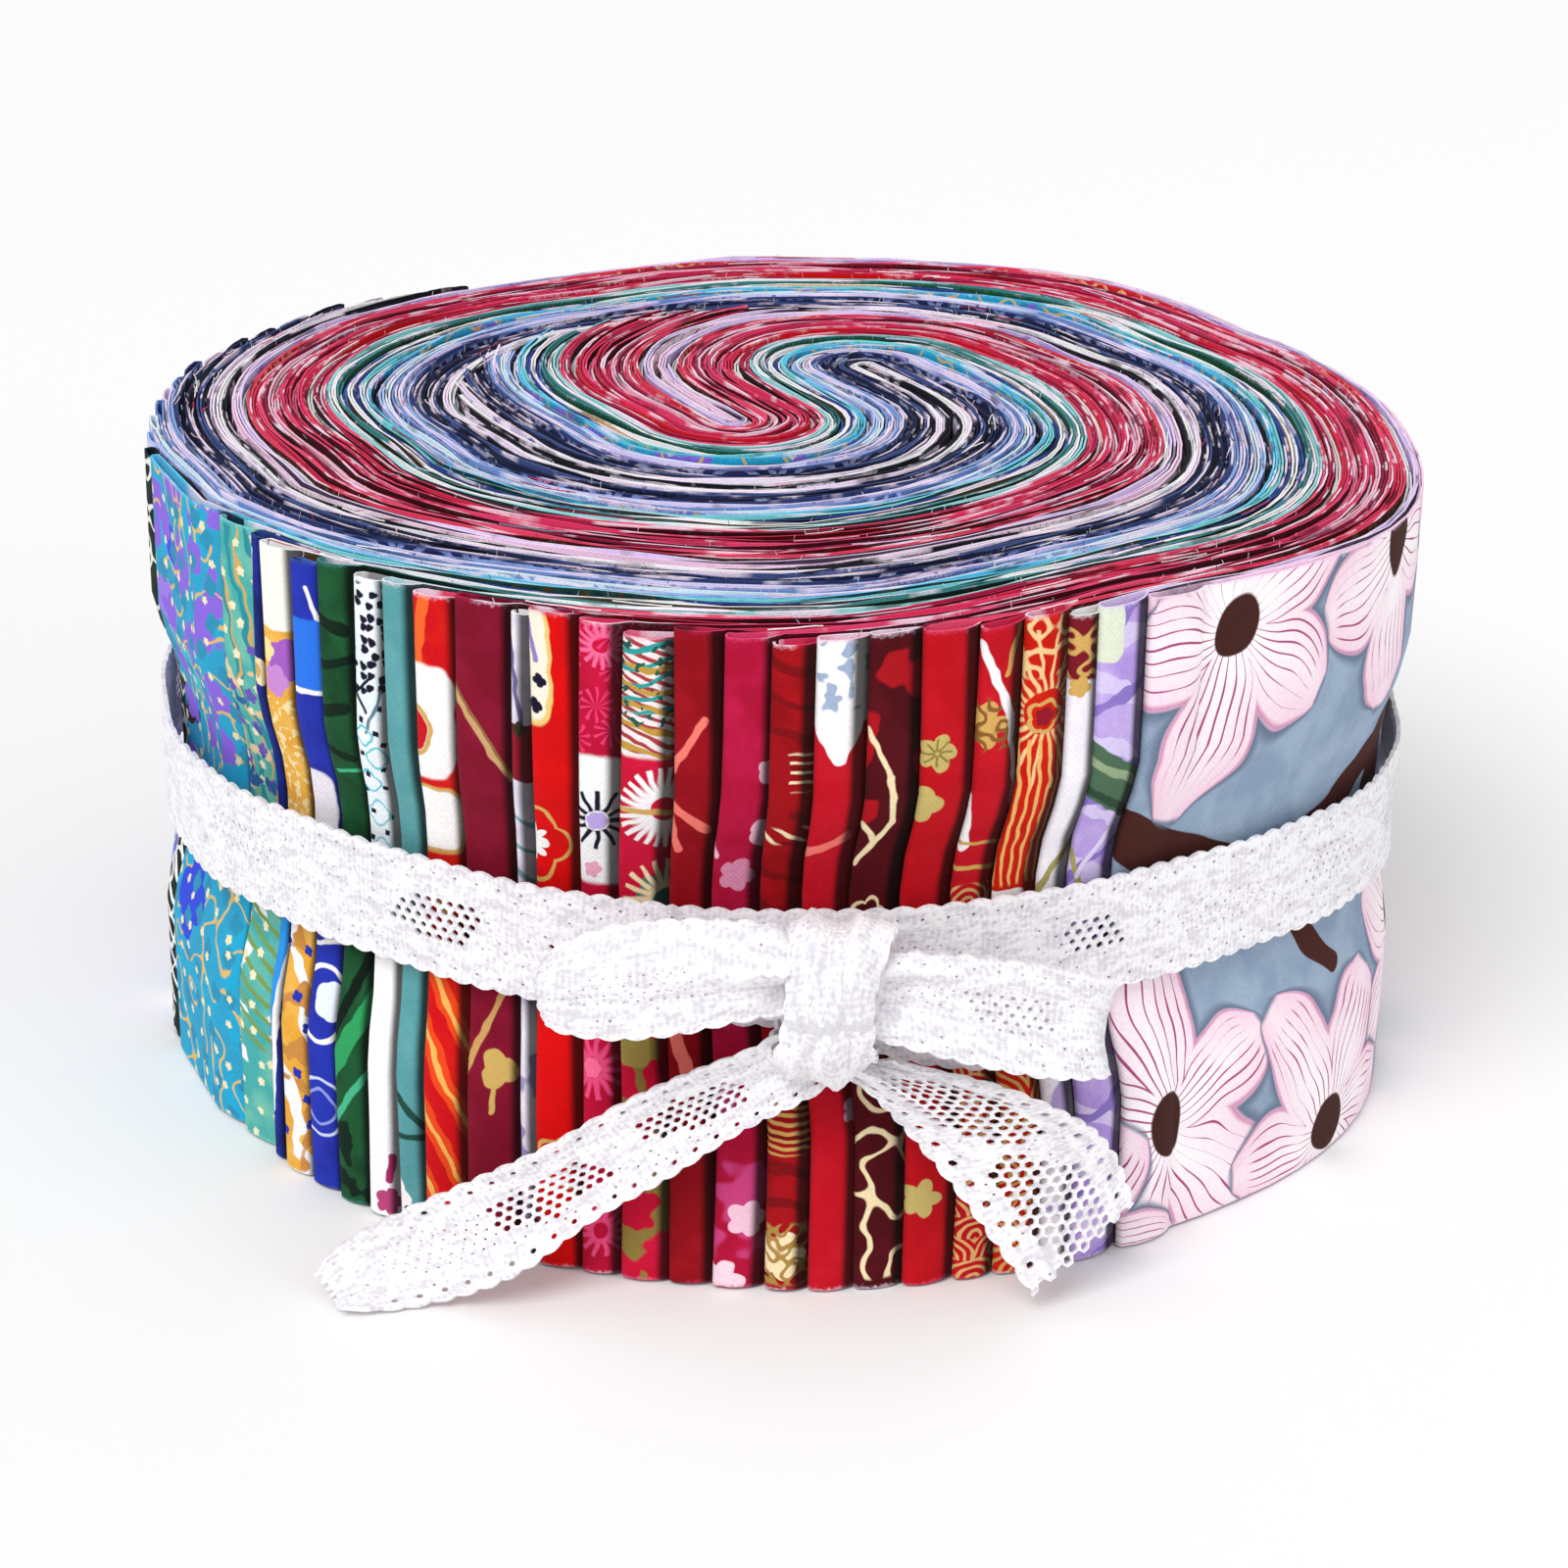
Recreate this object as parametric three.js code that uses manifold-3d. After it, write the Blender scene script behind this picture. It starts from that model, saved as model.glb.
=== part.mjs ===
// A roll of quilting fabric strips, tied round its waist with a white lace ribbon in a bow.
//
// The strips are folded in half, laid on each other as one stack and wound up from a folded
// core. The roll stands on end. Its folded ends stop one after the other round the outside,
// so each strip shows as a narrow upright band beside the next. The ribbon lies round the
// waist, and its knot, two loops and two free ends hang at the front.
//
// Units are millimetres and degrees. The frame is +Z up, with the origin on the table under
// the middle of the roll, and the bow at -Y.

import * as THREE from 'three';
import { mergeVertices } from 'three/addons/utils/BufferGeometryUtils.js';
import Module from 'manifold-3d';

const wasm = await Module();
wasm.setup();

// Strips: their width is the height of the roll
const stripWidth = 63.5;
const stripCount = 40;
const foldedThickness = 0.55;
const stackThickness = stripCount * foldedThickness;

// Core: the stack turns round two pivots, one on each side of a straight run
const coreAngle = 30;
const straightRun = 11.3;
const shortPivot = new THREE.Vector2(-5.5, -2);
const acrossCore = new THREE.Vector2(Math.cos(radians(coreAngle)), Math.sin(radians(coreAngle)));
const alongCore = new THREE.Vector2(acrossCore.y, -acrossCore.x);
const longPivot = shortPivot.clone()
  .addScaledVector(acrossCore, stackThickness)
  .addScaledVector(alongCore, -straightRun);

// Winding angles run clockwise from the core, seen from above
const halfTurn = 180;
const fullTurn = 360;
const wedgeTurn = 120;
const fanStart = 625;

// Fan of folded ends: the angle that each band shows, from the outermost strip inwards
const shownBands = [
  4.4, 2.7, 3.8, 3.5, 4.4, 4.2, 3.8, 3.4, 4.1, 3.8, 4.2, 3.5, 4.2,
  1.8, 5.1, 4.3, 3.2, 3.5, 4.1, 4.1, 4.2, 2.5, 6.0, 8.7, 5.3,
];
const hiddenBand = 5.1;
const foldLip = 0.3;
const lipAngle = 0.5;

// Rim of the roll by polar angle: its radius, and its rise over the strip width
const rim = [
  { angle: 0, radius: 63.0, rise: -0.3 },
  { angle: 30, radius: 63.2, rise: -0.2 },
  { angle: 60, radius: 65.2, rise: 1.0 },
  { angle: 90, radius: 65.0, rise: 0.5 },
  { angle: 120, radius: 61.3, rise: 0.0 },
  { angle: 150, radius: 64.2, rise: 0.0 },
  { angle: 180, radius: 64.6, rise: 0.2 },
  { angle: 210, radius: 64.8, rise: 0.0 },
  { angle: 240, radius: 64.2, rise: 0.2 },
  { angle: 270, radius: 64.8, rise: -0.6 },
  { angle: 300, radius: 64.2, rise: 0.9 },
  { angle: 330, radius: 65.4, rise: 0.0 },
];
const rimStep = fullTurn / rim.length;

// Waist that the ribbon pulls in
const waistHeight = 32.2;
const waistDepth = 2.0;
const waistFlat = 6.6;
const waistReach = 17;

// Grooves on the top between the turns
const grooveHalfWidth = 0.7;
const grooveDepth = 2.4;
const grooveEnd = 782;
const cutterTop = 3;

// Lace ribbon
const laceThickness = 1.0;
const laceShown = 11.4;
const gap = 0.3;
const scallopPitch = 4.2;
const scallopDepth = 0.45;

// Knot: a lump with flattened sides, gathered into pleats
const knotCentre = new THREE.Vector3(4.2, -70.2, 32.0);
const knotHalf = new THREE.Vector3(4.3, 4.7, 7.2);
const knotSquareness = 2.8;
const knotPleats = 5;
const knotPleatDepth = 0.06;

// Left loop from the back of the knot, round its end and back to the front: plan position
// of its lower edge, the heights of both edges, and how far the upper edge leans to the roll
const leftLoop = [
  { x: 3.0, y: -67.0, low: 29.5, high: 35.5, lean: 0.0 },
  { x: -2.0, y: -66.4, low: 28.6, high: 37.0, lean: -0.3 },
  { x: -8.0, y: -65.9, low: 27.6, high: 37.6, lean: -0.6 },
  { x: -14.0, y: -66.0, low: 27.4, high: 36.8, lean: -0.6 },
  { x: -18.4, y: -66.9, low: 28.0, high: 35.6, lean: -0.3 },
  { x: -20.2, y: -68.8, low: 28.6, high: 34.6, lean: 0.0 },
  { x: -18.8, y: -70.6, low: 28.2, high: 35.6, lean: 0.6 },
  { x: -14.4, y: -71.6, low: 27.9, high: 37.2, lean: 1.2 },
  { x: -8.0, y: -72.1, low: 28.5, high: 38.2, lean: 1.5 },
  { x: -2.4, y: -72.1, low: 29.8, high: 38.4, lean: 1.2 },
  { x: 3.0, y: -71.8, low: 30.4, high: 37.6, lean: 0.8 },
];

// Right loop, told the same way
const rightLoop = [
  { x: 5.0, y: -67.0, low: 26.6, high: 34.6, lean: 0.0 },
  { x: 11.0, y: -66.2, low: 24.4, high: 34.8, lean: -0.4 },
  { x: 17.5, y: -64.9, low: 23.0, high: 33.8, lean: -0.6 },
  { x: 24.0, y: -63.0, low: 22.2, high: 32.4, lean: -0.4 },
  { x: 28.0, y: -62.4, low: 22.0, high: 31.0, lean: 0.0 },
  { x: 29.4, y: -63.8, low: 22.2, high: 30.8, lean: 0.0 },
  { x: 28.8, y: -66.0, low: 22.8, high: 31.8, lean: 0.3 },
  { x: 24.0, y: -68.4, low: 23.8, high: 33.6, lean: 1.0 },
  { x: 17.5, y: -70.4, low: 25.2, high: 35.2, lean: 1.4 },
  { x: 11.0, y: -71.6, low: 26.4, high: 36.4, lean: 1.2 },
  { x: 5.0, y: -71.8, low: 27.4, high: 36.6, lean: 0.8 },
];

// Free ends: the two edges of the ribbon from the knot to its cut end
const leftTail = [
  { upper: [3.6, -70.4, 31.0], lower: [6.0, -70.2, 25.4] },
  { upper: [-0.6, -69.4, 28.0], lower: [1.6, -69.8, 21.8] },
  { upper: [-7.0, -67.9, 24.2], lower: [-3.8, -69.0, 17.8] },
  { upper: [-14.0, -66.8, 19.6], lower: [-10.2, -67.8, 12.8] },
  { upper: [-21.1, -66.2, 14.9], lower: [-16.8, -67.8, 8.0] },
  { upper: [-28.0, -65.8, 10.9], lower: [-22.8, -68.4, 3.6] },
  { upper: [-34.0, -65.2, 7.6], lower: [-28.6, -68.8, 1.1] },
  { upper: [-39.2, -65.6, 4.2], lower: [-34.4, -70.0, 0.8] },
  { upper: [-42.0, -66.2, 1.4], lower: [-39.4, -70.8, 0.8] },
];
const rightTail = [
  { upper: [9.4, -68.4, 25.4], lower: [4.4, -70.2, 25.6] },
  { upper: [16.4, -67.2, 23.2], lower: [7.8, -69.6, 23.0] },
  { upper: [23.2, -65.4, 20.4], lower: [11.6, -68.9, 18.4] },
  { upper: [28.0, -63.8, 16.8], lower: [15.8, -68.4, 12.8] },
  { upper: [31.0, -62.2, 12.4], lower: [19.4, -68.3, 7.4] },
  { upper: [32.2, -61.4, 7.6], lower: [23.8, -68.3, 1.4] },
];
const leftTailSteps = 30;
const rightTailSteps = 20;
const loopSteps = 40;
const tailRuffle = 0.5;
const tailWaves = 3;
const tailCrown = 0.6;

function radians(angle) {
  return THREE.MathUtils.degToRad(angle);
}

// Winding of the stack

function facingAt(turn) {
  const angle = radians(halfTurn + coreAngle - turn);
  return new THREE.Vector2(Math.cos(angle), Math.sin(angle));
}

// The short arm of the core fills a wedge that runs out under the first turn
function wedgeShare(turn) {
  return 1 - THREE.MathUtils.smoothstep(turn, 0, wedgeTurn);
}

// Distance from the origin to the line that touches the stack's inner face
function innerReach(turn) {
  const facing = facingAt(turn);
  if (turn < halfTurn) {
    return longPivot.dot(facing);
  }
  if (turn < fullTurn) {
    return shortPivot.dot(facing) + stackThickness;
  }
  return innerReach(turn - fullTurn) + stackThickness * (1 + wedgeShare(turn - fullTurn));
}

// Point where that line touches, moved outwards by an offset
function windingPoint(turn, offset) {
  const facing = facingAt(turn);
  const slope = (innerReach(turn + 0.5) - innerReach(turn - 0.5)) / radians(1);
  return facing.clone()
    .multiplyScalar(innerReach(turn) + offset)
    .addScaledVector(new THREE.Vector2(-facing.y, facing.x), -slope);
}

function bandAngle(index) {
  return index < shownBands.length ? shownBands[index] : hiddenBand;
}

// Where each folded end stops, from the outermost strip inwards
function foldedEnds() {
  const ends = [fanStart];
  for (let i = 0; i < stripCount - 1; i += 1) {
    ends.push(ends[i] + bandAngle(i));
  }
  return ends;
}

// Outline of the winding in plan, one lip and one step for each folded end
function windingOutline() {
  const ends = foldedEnds();
  const points = [];
  const fullStart = ends[stripCount - 1] - fullTurn;
  const plainSteps = 38;
  for (let i = 1; i < plainSteps; i += 1) {
    const turn = THREE.MathUtils.lerp(fullStart, fanStart, i / plainSteps);
    points.push(windingPoint(turn, stackThickness));
  }
  ends.forEach((end, i) => {
    const above = stackThickness - i * foldedThickness;
    const below = above - foldedThickness;
    points.push(windingPoint(end - lipAngle, above + foldLip));
    points.push(windingPoint(end, below));
    if (i < stripCount - 1) {
      points.push(windingPoint(end + bandAngle(i) / 2, below));
    }
  });
  return points;
}

function polar(point) {
  const angle = THREE.MathUtils.radToDeg(Math.atan2(point.y, point.x));
  return { angle: THREE.MathUtils.euclideanModulo(angle, fullTurn), radius: point.length() };
}

// Smooth value of one column of the rim table at a polar angle
function rimValue(angle, column) {
  const place = THREE.MathUtils.euclideanModulo(angle, fullTurn) / rimStep;
  const index = Math.floor(place);
  const from = rim[index % rim.length][column];
  const to = rim[(index + 1) % rim.length][column];
  return THREE.MathUtils.lerp(from, to, THREE.MathUtils.smoothstep(place - index, 0, 1));
}

// The wound stack is a little oval. Its plain reach by polar angle, with the fan's steps
// evened out, tells how far each point moves for the rim to follow the table.
function plainReachTable() {
  const ends = foldedEnds();
  const last = ends[stripCount - 1];
  const samples = [];
  for (let turn = last - fullTurn; turn < last; turn += 2) {
    const ended = Math.max(0, (turn - fanStart) / (last - fanStart));
    samples.push(polar(windingPoint(turn, stackThickness * (1 - ended))));
  }
  samples.sort((a, b) => a.angle - b.angle);
  return samples;
}

const plainReach = plainReachTable();

function plainReachAt(angle) {
  const count = plainReach.length;
  const after = plainReach.findIndex((sample) => sample.angle > angle);
  const next = after === -1 ? 0 : after;
  const to = plainReach[next];
  const from = plainReach[(next + count - 1) % count];
  const span = THREE.MathUtils.euclideanModulo(to.angle - from.angle, fullTurn);
  const share = THREE.MathUtils.euclideanModulo(angle - from.angle, fullTurn) / span;
  return THREE.MathUtils.lerp(from.radius, to.radius, share);
}

function settled(point) {
  const { angle, radius } = polar(point);
  const reach = plainReachAt(angle);
  const share = THREE.MathUtils.smoothstep(radius / reach, 0, 1);
  return point.clone().multiplyScalar(1 + (rimValue(angle, 'radius') / reach - 1) * share);
}

// How far the ribbon pulls the roll in at a height
function waistPull(height) {
  const away = Math.abs(height - waistHeight);
  return waistDepth * (1 - THREE.MathUtils.smoothstep(away, waistFlat, waistReach));
}

// Closed bodies from rings of points

function bodyFrom(positions, indices) {
  const geometry = new THREE.BufferGeometry();
  geometry.setAttribute('position', new THREE.Float32BufferAttribute(positions, 3));
  geometry.setIndex(indices);
  return geometry;
}

function pushPoint(positions, x, y, z) {
  positions.push(x, y, z);
  return positions.length / 3 - 1;
}

// Two triangles between neighbouring points of two rings, the second ring above the first
function pushWall(indices, lower, upper) {
  const count = lower.length;
  for (let i = 0; i < count; i += 1) {
    const j = (i + 1) % count;
    indices.push(lower[i], lower[j], upper[j]);
    indices.push(lower[i], upper[j], upper[i]);
  }
}

function rollBody() {
  const outline = windingOutline().map(settled).map(polar);
  outline.sort((a, b) => a.angle - b.angle);
  const positions = [];
  const indices = [];
  const heights = [0, 15.5, 21, 25.4, 39, 43.5, 49, stripWidth];
  const walls = heights.map((height) => outline.map(({ angle, radius }) => {
    const pulled = radius - waistPull(height);
    const rise = height === stripWidth ? rimValue(angle, 'rise') : 0;
    const turn = radians(angle);
    return pushPoint(positions, pulled * Math.cos(turn), pulled * Math.sin(turn), height + rise);
  }));
  for (let i = 1; i < walls.length; i += 1) {
    pushWall(indices, walls[i - 1], walls[i]);
  }
  let rimRing = walls[walls.length - 1];
  const capRings = [
    { share: 0.92, risen: 0.8 },
    { share: 0.66, risen: 0.2 },
    { share: 0.33, risen: 0 },
  ];
  capRings.forEach(({ share, risen }) => {
    const ring = outline.map(({ angle, radius }) => {
      const turn = radians(angle);
      const reach = radius * share;
      const height = stripWidth + risen * rimValue(angle, 'rise');
      return pushPoint(positions, reach * Math.cos(turn), reach * Math.sin(turn), height);
    });
    pushWall(indices, rimRing, ring);
    rimRing = ring;
  });
  const topCentre = pushPoint(positions, 0, 0, stripWidth);
  const baseCentre = pushPoint(positions, 0, 0, 0);
  const baseRing = walls[0];
  for (let i = 0; i < outline.length; i += 1) {
    const j = (i + 1) % outline.length;
    indices.push(rimRing[i], rimRing[j], topCentre);
    indices.push(baseRing[j], baseRing[i], baseCentre);
  }
  return bodyFrom(positions, indices);
}

// V-shaped cutter along a line in plan
function grooveCutter(line) {
  const positions = [];
  const indices = [];
  const sections = line.map((point, i) => {
    const before = line[Math.max(i - 1, 0)];
    const after = line[Math.min(i + 1, line.length - 1)];
    const side = new THREE.Vector2(before.y - after.y, after.x - before.x)
      .normalize()
      .multiplyScalar(grooveHalfWidth * (1 + cutterTop / grooveDepth));
    const top = stripWidth + cutterTop;
    return [
      pushPoint(positions, point.x, point.y, stripWidth - grooveDepth),
      pushPoint(positions, point.x + side.x, point.y + side.y, top),
      pushPoint(positions, point.x - side.x, point.y - side.y, top),
    ];
  });
  for (let i = 1; i < sections.length; i += 1) {
    pushWall(indices, sections[i - 1], sections[i]);
  }
  const first = sections[0];
  const last = sections[sections.length - 1];
  indices.push(first[2], first[1], first[0]);
  indices.push(last[0], last[1], last[2]);
  return bodyFrom(positions, indices);
}

function turnsBetween(from, to, step) {
  const turns = [];
  for (let turn = from; turn < to; turn += step) {
    turns.push(turn);
  }
  turns.push(to);
  return turns;
}

// The groove round the long arm starts at its pivot and runs out into the fan
function longGroove() {
  const pivotTurns = [halfTurn - 2, halfTurn, halfTurn + 2];
  const turns = [...pivotTurns, ...turnsBetween(halfTurn + 8, grooveEnd, 7)];
  return turns.map((turn) => settled(windingPoint(turn, 0)));
}

// The groove round the short arm joins it where the wedge runs out
function shortGroove() {
  const turns = turnsBetween(0, wedgeTurn - 6, 7);
  const line = turns.map((turn) => settled(windingPoint(turn, stackThickness)));
  return [settled(shortPivot), ...line];
}

function solidOf(geometry) {
  const plain = geometry.clone();
  plain.deleteAttribute('normal');
  plain.deleteAttribute('uv');
  const merged = mergeVertices(plain, 1e-4);
  return new wasm.Manifold(new wasm.Mesh({
    numProp: 3,
    vertProperties: new Float32Array(merged.attributes.position.array),
    triVerts: new Uint32Array(merged.index.array),
  }));
}

function geometryOf(solid) {
  const mesh = solid.getMesh();
  return bodyFrom(Array.from(mesh.vertProperties), Array.from(mesh.triVerts));
}

function cutBy(geometry, ...cutters) {
  const solid = cutters.reduce((left, cutter) => left.subtract(solidOf(cutter)), solidOf(geometry));
  return geometryOf(solid);
}

// Lace round the waist, bridging the folded ends
function laceBandBody() {
  const reach = laceThickness + gap + foldLip + foldedThickness / 2;
  const scallops = Math.round((2 * Math.PI * rim[0].radius) / scallopPitch);
  const steps = scallops * 2;
  const positions = [];
  const indices = [];
  const sections = [];
  for (let i = 0; i < steps; i += 1) {
    const angle = (i * fullTurn) / steps;
    const outer = rimValue(angle, 'radius') - waistDepth + reach;
    const inner = outer - laceThickness;
    const half = laceShown / 2 - (i % 2) * scallopDepth;
    const x = Math.cos(radians(angle));
    const y = Math.sin(radians(angle));
    sections.push([
      pushPoint(positions, inner * x, inner * y, waistHeight - half),
      pushPoint(positions, inner * x, inner * y, waistHeight + half),
      pushPoint(positions, outer * x, outer * y, waistHeight + half),
      pushPoint(positions, outer * x, outer * y, waistHeight - half),
    ]);
  }
  for (let i = 0; i < steps; i += 1) {
    pushWall(indices, sections[i], sections[(i + 1) % steps]);
  }
  return bodyFrom(positions, indices);
}

// Sheet between two edge curves, with a scalloped edge on both sides and soft waves
function laceSheetBody({ upper, lower, steps, ruffle, waves, crown }) {
  const across = 4;
  const upperCurve = new THREE.CatmullRomCurve3(upper, false, 'centripetal');
  const lowerCurve = new THREE.CatmullRomCurve3(lower, false, 'centripetal');
  const middle = [];
  for (let i = 0; i <= steps; i += 1) {
    const from = lowerCurve.getPoint(i / steps);
    const to = upperCurve.getPoint(i / steps);
    const outward = to.clone().sub(from).normalize().multiplyScalar(scallopDepth * (i % 2));
    from.add(outward);
    to.sub(outward);
    const row = [];
    for (let j = 0; j <= across; j += 1) {
      row.push(from.clone().lerp(to, j / across));
    }
    middle.push(row);
  }
  const normalAt = (i, j) => {
    const alongStep = middle[Math.min(i + 1, steps)][j].clone().sub(middle[Math.max(i - 1, 0)][j]);
    const acrossStep = middle[i][across].clone().sub(middle[i][0]);
    return alongStep.cross(acrossStep).normalize();
  };
  const positions = [];
  const front = [];
  const back = [];
  for (let i = 0; i <= steps; i += 1) {
    const frontRow = [];
    const backRow = [];
    const fade = Math.sin((Math.PI * i) / steps);
    for (let j = 0; j <= across; j += 1) {
      const normal = normalAt(i, j);
      const place = (2 * j) / across - 1;
      const wave = ruffle * fade * place * Math.sin((2 * Math.PI * waves * i) / steps);
      const bow = crown * (1 - place * place);
      const point = middle[i][j].clone().addScaledVector(normal, wave + bow);
      const half = laceThickness / 2;
      const onFront = point.clone().addScaledVector(normal, half);
      const onBack = point.clone().addScaledVector(normal, -half);
      frontRow.push(pushPoint(positions, ...onFront));
      backRow.push(pushPoint(positions, ...onBack));
    }
    front.push(frontRow);
    back.push(backRow);
  }
  const indices = [];
  for (let i = 1; i <= steps; i += 1) {
    const before = [...front[i - 1], ...back[i - 1].slice().reverse()];
    const after = [...front[i], ...back[i].slice().reverse()];
    pushWall(indices, after, before);
  }
  pushEnd(indices, front[0], back[0], false);
  pushEnd(indices, front[steps], back[steps], true);
  return bodyFrom(positions, indices);
}

// Closes one end of a sheet between its front and back row
function pushEnd(indices, frontRow, backRow, turned) {
  for (let j = 1; j < frontRow.length; j += 1) {
    const corners = [frontRow[j - 1], frontRow[j], backRow[j], backRow[j - 1]];
    if (turned) {
      corners.reverse();
    }
    indices.push(corners[0], corners[1], corners[2]);
    indices.push(corners[0], corners[2], corners[3]);
  }
}

// Lump of the knot, grown by a margin where its neighbours are trimmed against it
function knotBody(margin) {
  const rows = 16;
  const columns = 24;
  const geometry = new THREE.SphereGeometry(1, columns, rows);
  geometry.rotateX(Math.PI / 2);
  const place = geometry.attributes.position;
  for (let i = 0; i < place.count; i += 1) {
    const direction = new THREE.Vector3().fromBufferAttribute(place, i);
    const spread = ['x', 'y', 'z']
      .map((axis) => Math.abs(direction[axis]) ** knotSquareness)
      .reduce((sum, term) => sum + term, 0) ** (-1 / knotSquareness);
    const around = Math.atan2(direction.y, direction.x);
    const flank = 1 - direction.z * direction.z;
    const pleat = 1 + knotPleatDepth * flank * Math.cos(2 * knotPleats * around);
    const point = direction.clone().multiplyScalar(spread);
    place.setXYZ(
      i,
      knotCentre.x + point.x * (knotHalf.x * pleat + margin),
      knotCentre.y + point.y * (knotHalf.y * pleat + margin),
      knotCentre.z + point.z * (knotHalf.z + margin),
    );
  }
  return geometry;
}

function loopBody(rows) {
  const body = laceSheetBody({
    upper: rows.map(({ x, y, high, lean }) => new THREE.Vector3(x, y + lean, high)),
    lower: rows.map(({ x, y, low }) => new THREE.Vector3(x, y, low)),
    steps: loopSteps,
    ruffle: 0,
    waves: 0,
    crown: 0,
  });
  return cutBy(body, knotBody(gap));
}

function tailBody(rows, steps) {
  const body = laceSheetBody({
    upper: rows.map(({ upper }) => new THREE.Vector3(...upper)),
    lower: rows.map(({ lower }) => new THREE.Vector3(...lower)),
    steps,
    ruffle: tailRuffle,
    waves: tailWaves,
    crown: tailCrown,
  });
  return cutBy(body, knotBody(gap));
}

const stripCotton = { color: 0xa81f30, roughness: 0.9, metalness: 0 };
const whiteLace = { color: 0xf6f4f2, roughness: 0.8, metalness: 0 };

function piece(name, geometry, finish) {
  const mesh = new THREE.Mesh(geometry, new THREE.MeshStandardMaterial(finish));
  mesh.name = name;
  return mesh;
}

const roll = new THREE.Group();
const woundStrips = cutBy(rollBody(), grooveCutter(longGroove()), grooveCutter(shortGroove()));
roll.add(piece('strip_roll', woundStrips, stripCotton));

const ribbon = new THREE.Group();
ribbon.add(piece('lace_band', laceBandBody(), whiteLace));
ribbon.add(piece('lace_knot', knotBody(0), whiteLace));
ribbon.add(piece('lace_loop_left', loopBody(leftLoop), whiteLace));
ribbon.add(piece('lace_loop_right', loopBody(rightLoop), whiteLace));
ribbon.add(piece('lace_tail_left', tailBody(leftTail, leftTailSteps), whiteLace));
ribbon.add(piece('lace_tail_right', tailBody(rightTail, rightTailSteps), whiteLace));
roll.add(ribbon);

export default roll;
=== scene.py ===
# %% [markdown]
# # A roll of quilting fabric strips, tied with lace
#
# Forty cotton strips are each folded in half, laid on one another and wound up together.
# Their folded ends stop one after another round the outside, so each print shows as a narrow
# upright band. A white lace ribbon goes round the waist and is tied in a bow.
#
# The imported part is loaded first. It fixes the size and the place of everything, so each
# piece below is worked out in millimetres in the same frame and made in metres.

# %% The frame
import math

import bpy
import numpy as np
from mathutils import Matrix, Vector


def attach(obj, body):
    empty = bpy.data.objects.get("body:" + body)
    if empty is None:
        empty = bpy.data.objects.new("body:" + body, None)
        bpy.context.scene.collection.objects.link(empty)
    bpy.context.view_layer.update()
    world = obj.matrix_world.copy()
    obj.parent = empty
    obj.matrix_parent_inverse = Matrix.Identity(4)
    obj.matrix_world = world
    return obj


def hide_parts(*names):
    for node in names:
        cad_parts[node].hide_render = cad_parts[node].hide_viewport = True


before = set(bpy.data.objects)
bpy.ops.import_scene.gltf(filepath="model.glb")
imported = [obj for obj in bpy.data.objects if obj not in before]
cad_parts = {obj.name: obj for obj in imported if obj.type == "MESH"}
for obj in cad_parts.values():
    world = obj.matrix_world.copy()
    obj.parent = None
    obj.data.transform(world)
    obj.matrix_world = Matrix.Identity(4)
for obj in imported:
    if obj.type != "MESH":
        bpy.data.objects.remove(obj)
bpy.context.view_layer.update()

MM = 0.001

# %% [markdown]
# ## Small helpers
#
# A mesh can be made with modelling tools or straight from numbers. Cloth that is wound on
# itself is easier to work out than to model, so most pieces here are lists of points and
# faces. One helper turns such lists into an object and one turns the hex colours that a
# screen shows into the linear ones that a renderer needs. The last ones start a material, add
# a node to it and wire a node to its shader.

# %% Helpers for meshes, nodes and colours
def unit(vectors):
    return vectors / (np.linalg.norm(vectors, axis=-1, keepdims=True) + 1e-9)


def smoothstep(value, low, high):
    share = np.clip((np.asarray(value, float) - low) / (high - low), 0, 1)
    return share * share * (3 - 2 * share)


def in_scene(name, data):
    thing = bpy.data.objects.new(name, data)
    bpy.context.scene.collection.objects.link(thing)
    return thing


def made_piece(name, points, faces, loop_uv, material, sharp=40):
    mesh = bpy.data.meshes.new(name)
    mesh.from_pydata((np.asarray(points, float) * MM).tolist(), [], faces)
    layer = mesh.uv_layers.new(name="cloth_mm")
    layer.data.foreach_set("uv", np.asarray(loop_uv, np.float32).ravel())
    mesh.shade_smooth()
    mesh.set_sharp_from_angle(angle=math.radians(sharp))
    mesh.materials.append(material)
    return in_scene(name, mesh)


def linear(hex_colour):
    """A colour such as "#c81e2d" as linear red, green, blue and full alpha."""
    parts = [int(hex_colour[i:i + 2], 16) / 255 for i in (1, 3, 5)]
    return [p / 12.92 if p <= 0.04045 else ((p + 0.055) / 1.055) ** 2.4 for p in parts] + [1.0]


def new_material(name, values):
    """A material, with values on its shader. From here on add() and wire() work in it."""
    global tree, shader
    material = bpy.data.materials.new(name)
    material.use_nodes = True
    tree = material.node_tree
    shader = tree.nodes["Principled BSDF"]
    for socket, value in values.items():
        shader.inputs[socket].default_value = value
    return material


def wire(output, socket):
    tree.links.new(output, shader.inputs[socket])


main_setting = {
    "Math": "operation", "VectorMath": "operation", "Mix": "data_type", "UVMap": "uv_map",
    "TexNoise": "noise_dimensions", "TexVoronoi": "voronoi_dimensions",
    "MapRange": "interpolation_type",
}


def add(kind, *inputs, out=0, **settings):
    """Adds a node such as "Math SINE", fills its inputs in order and gives one output."""
    kind, *setting = kind.split()
    node = tree.nodes.new("ShaderNode" + kind)
    if setting:
        setattr(node, main_setting[kind], setting[0])
    for name, value in settings.items():
        setattr(node, name, value)
    for socket, value in zip([s for s in node.inputs if s.enabled], inputs):
        if isinstance(value, bpy.types.NodeSocket):
            tree.links.new(value, socket)
        elif value is not None:
            socket.default_value = value
    return [s for s in node.outputs if s.enabled][out]


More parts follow.
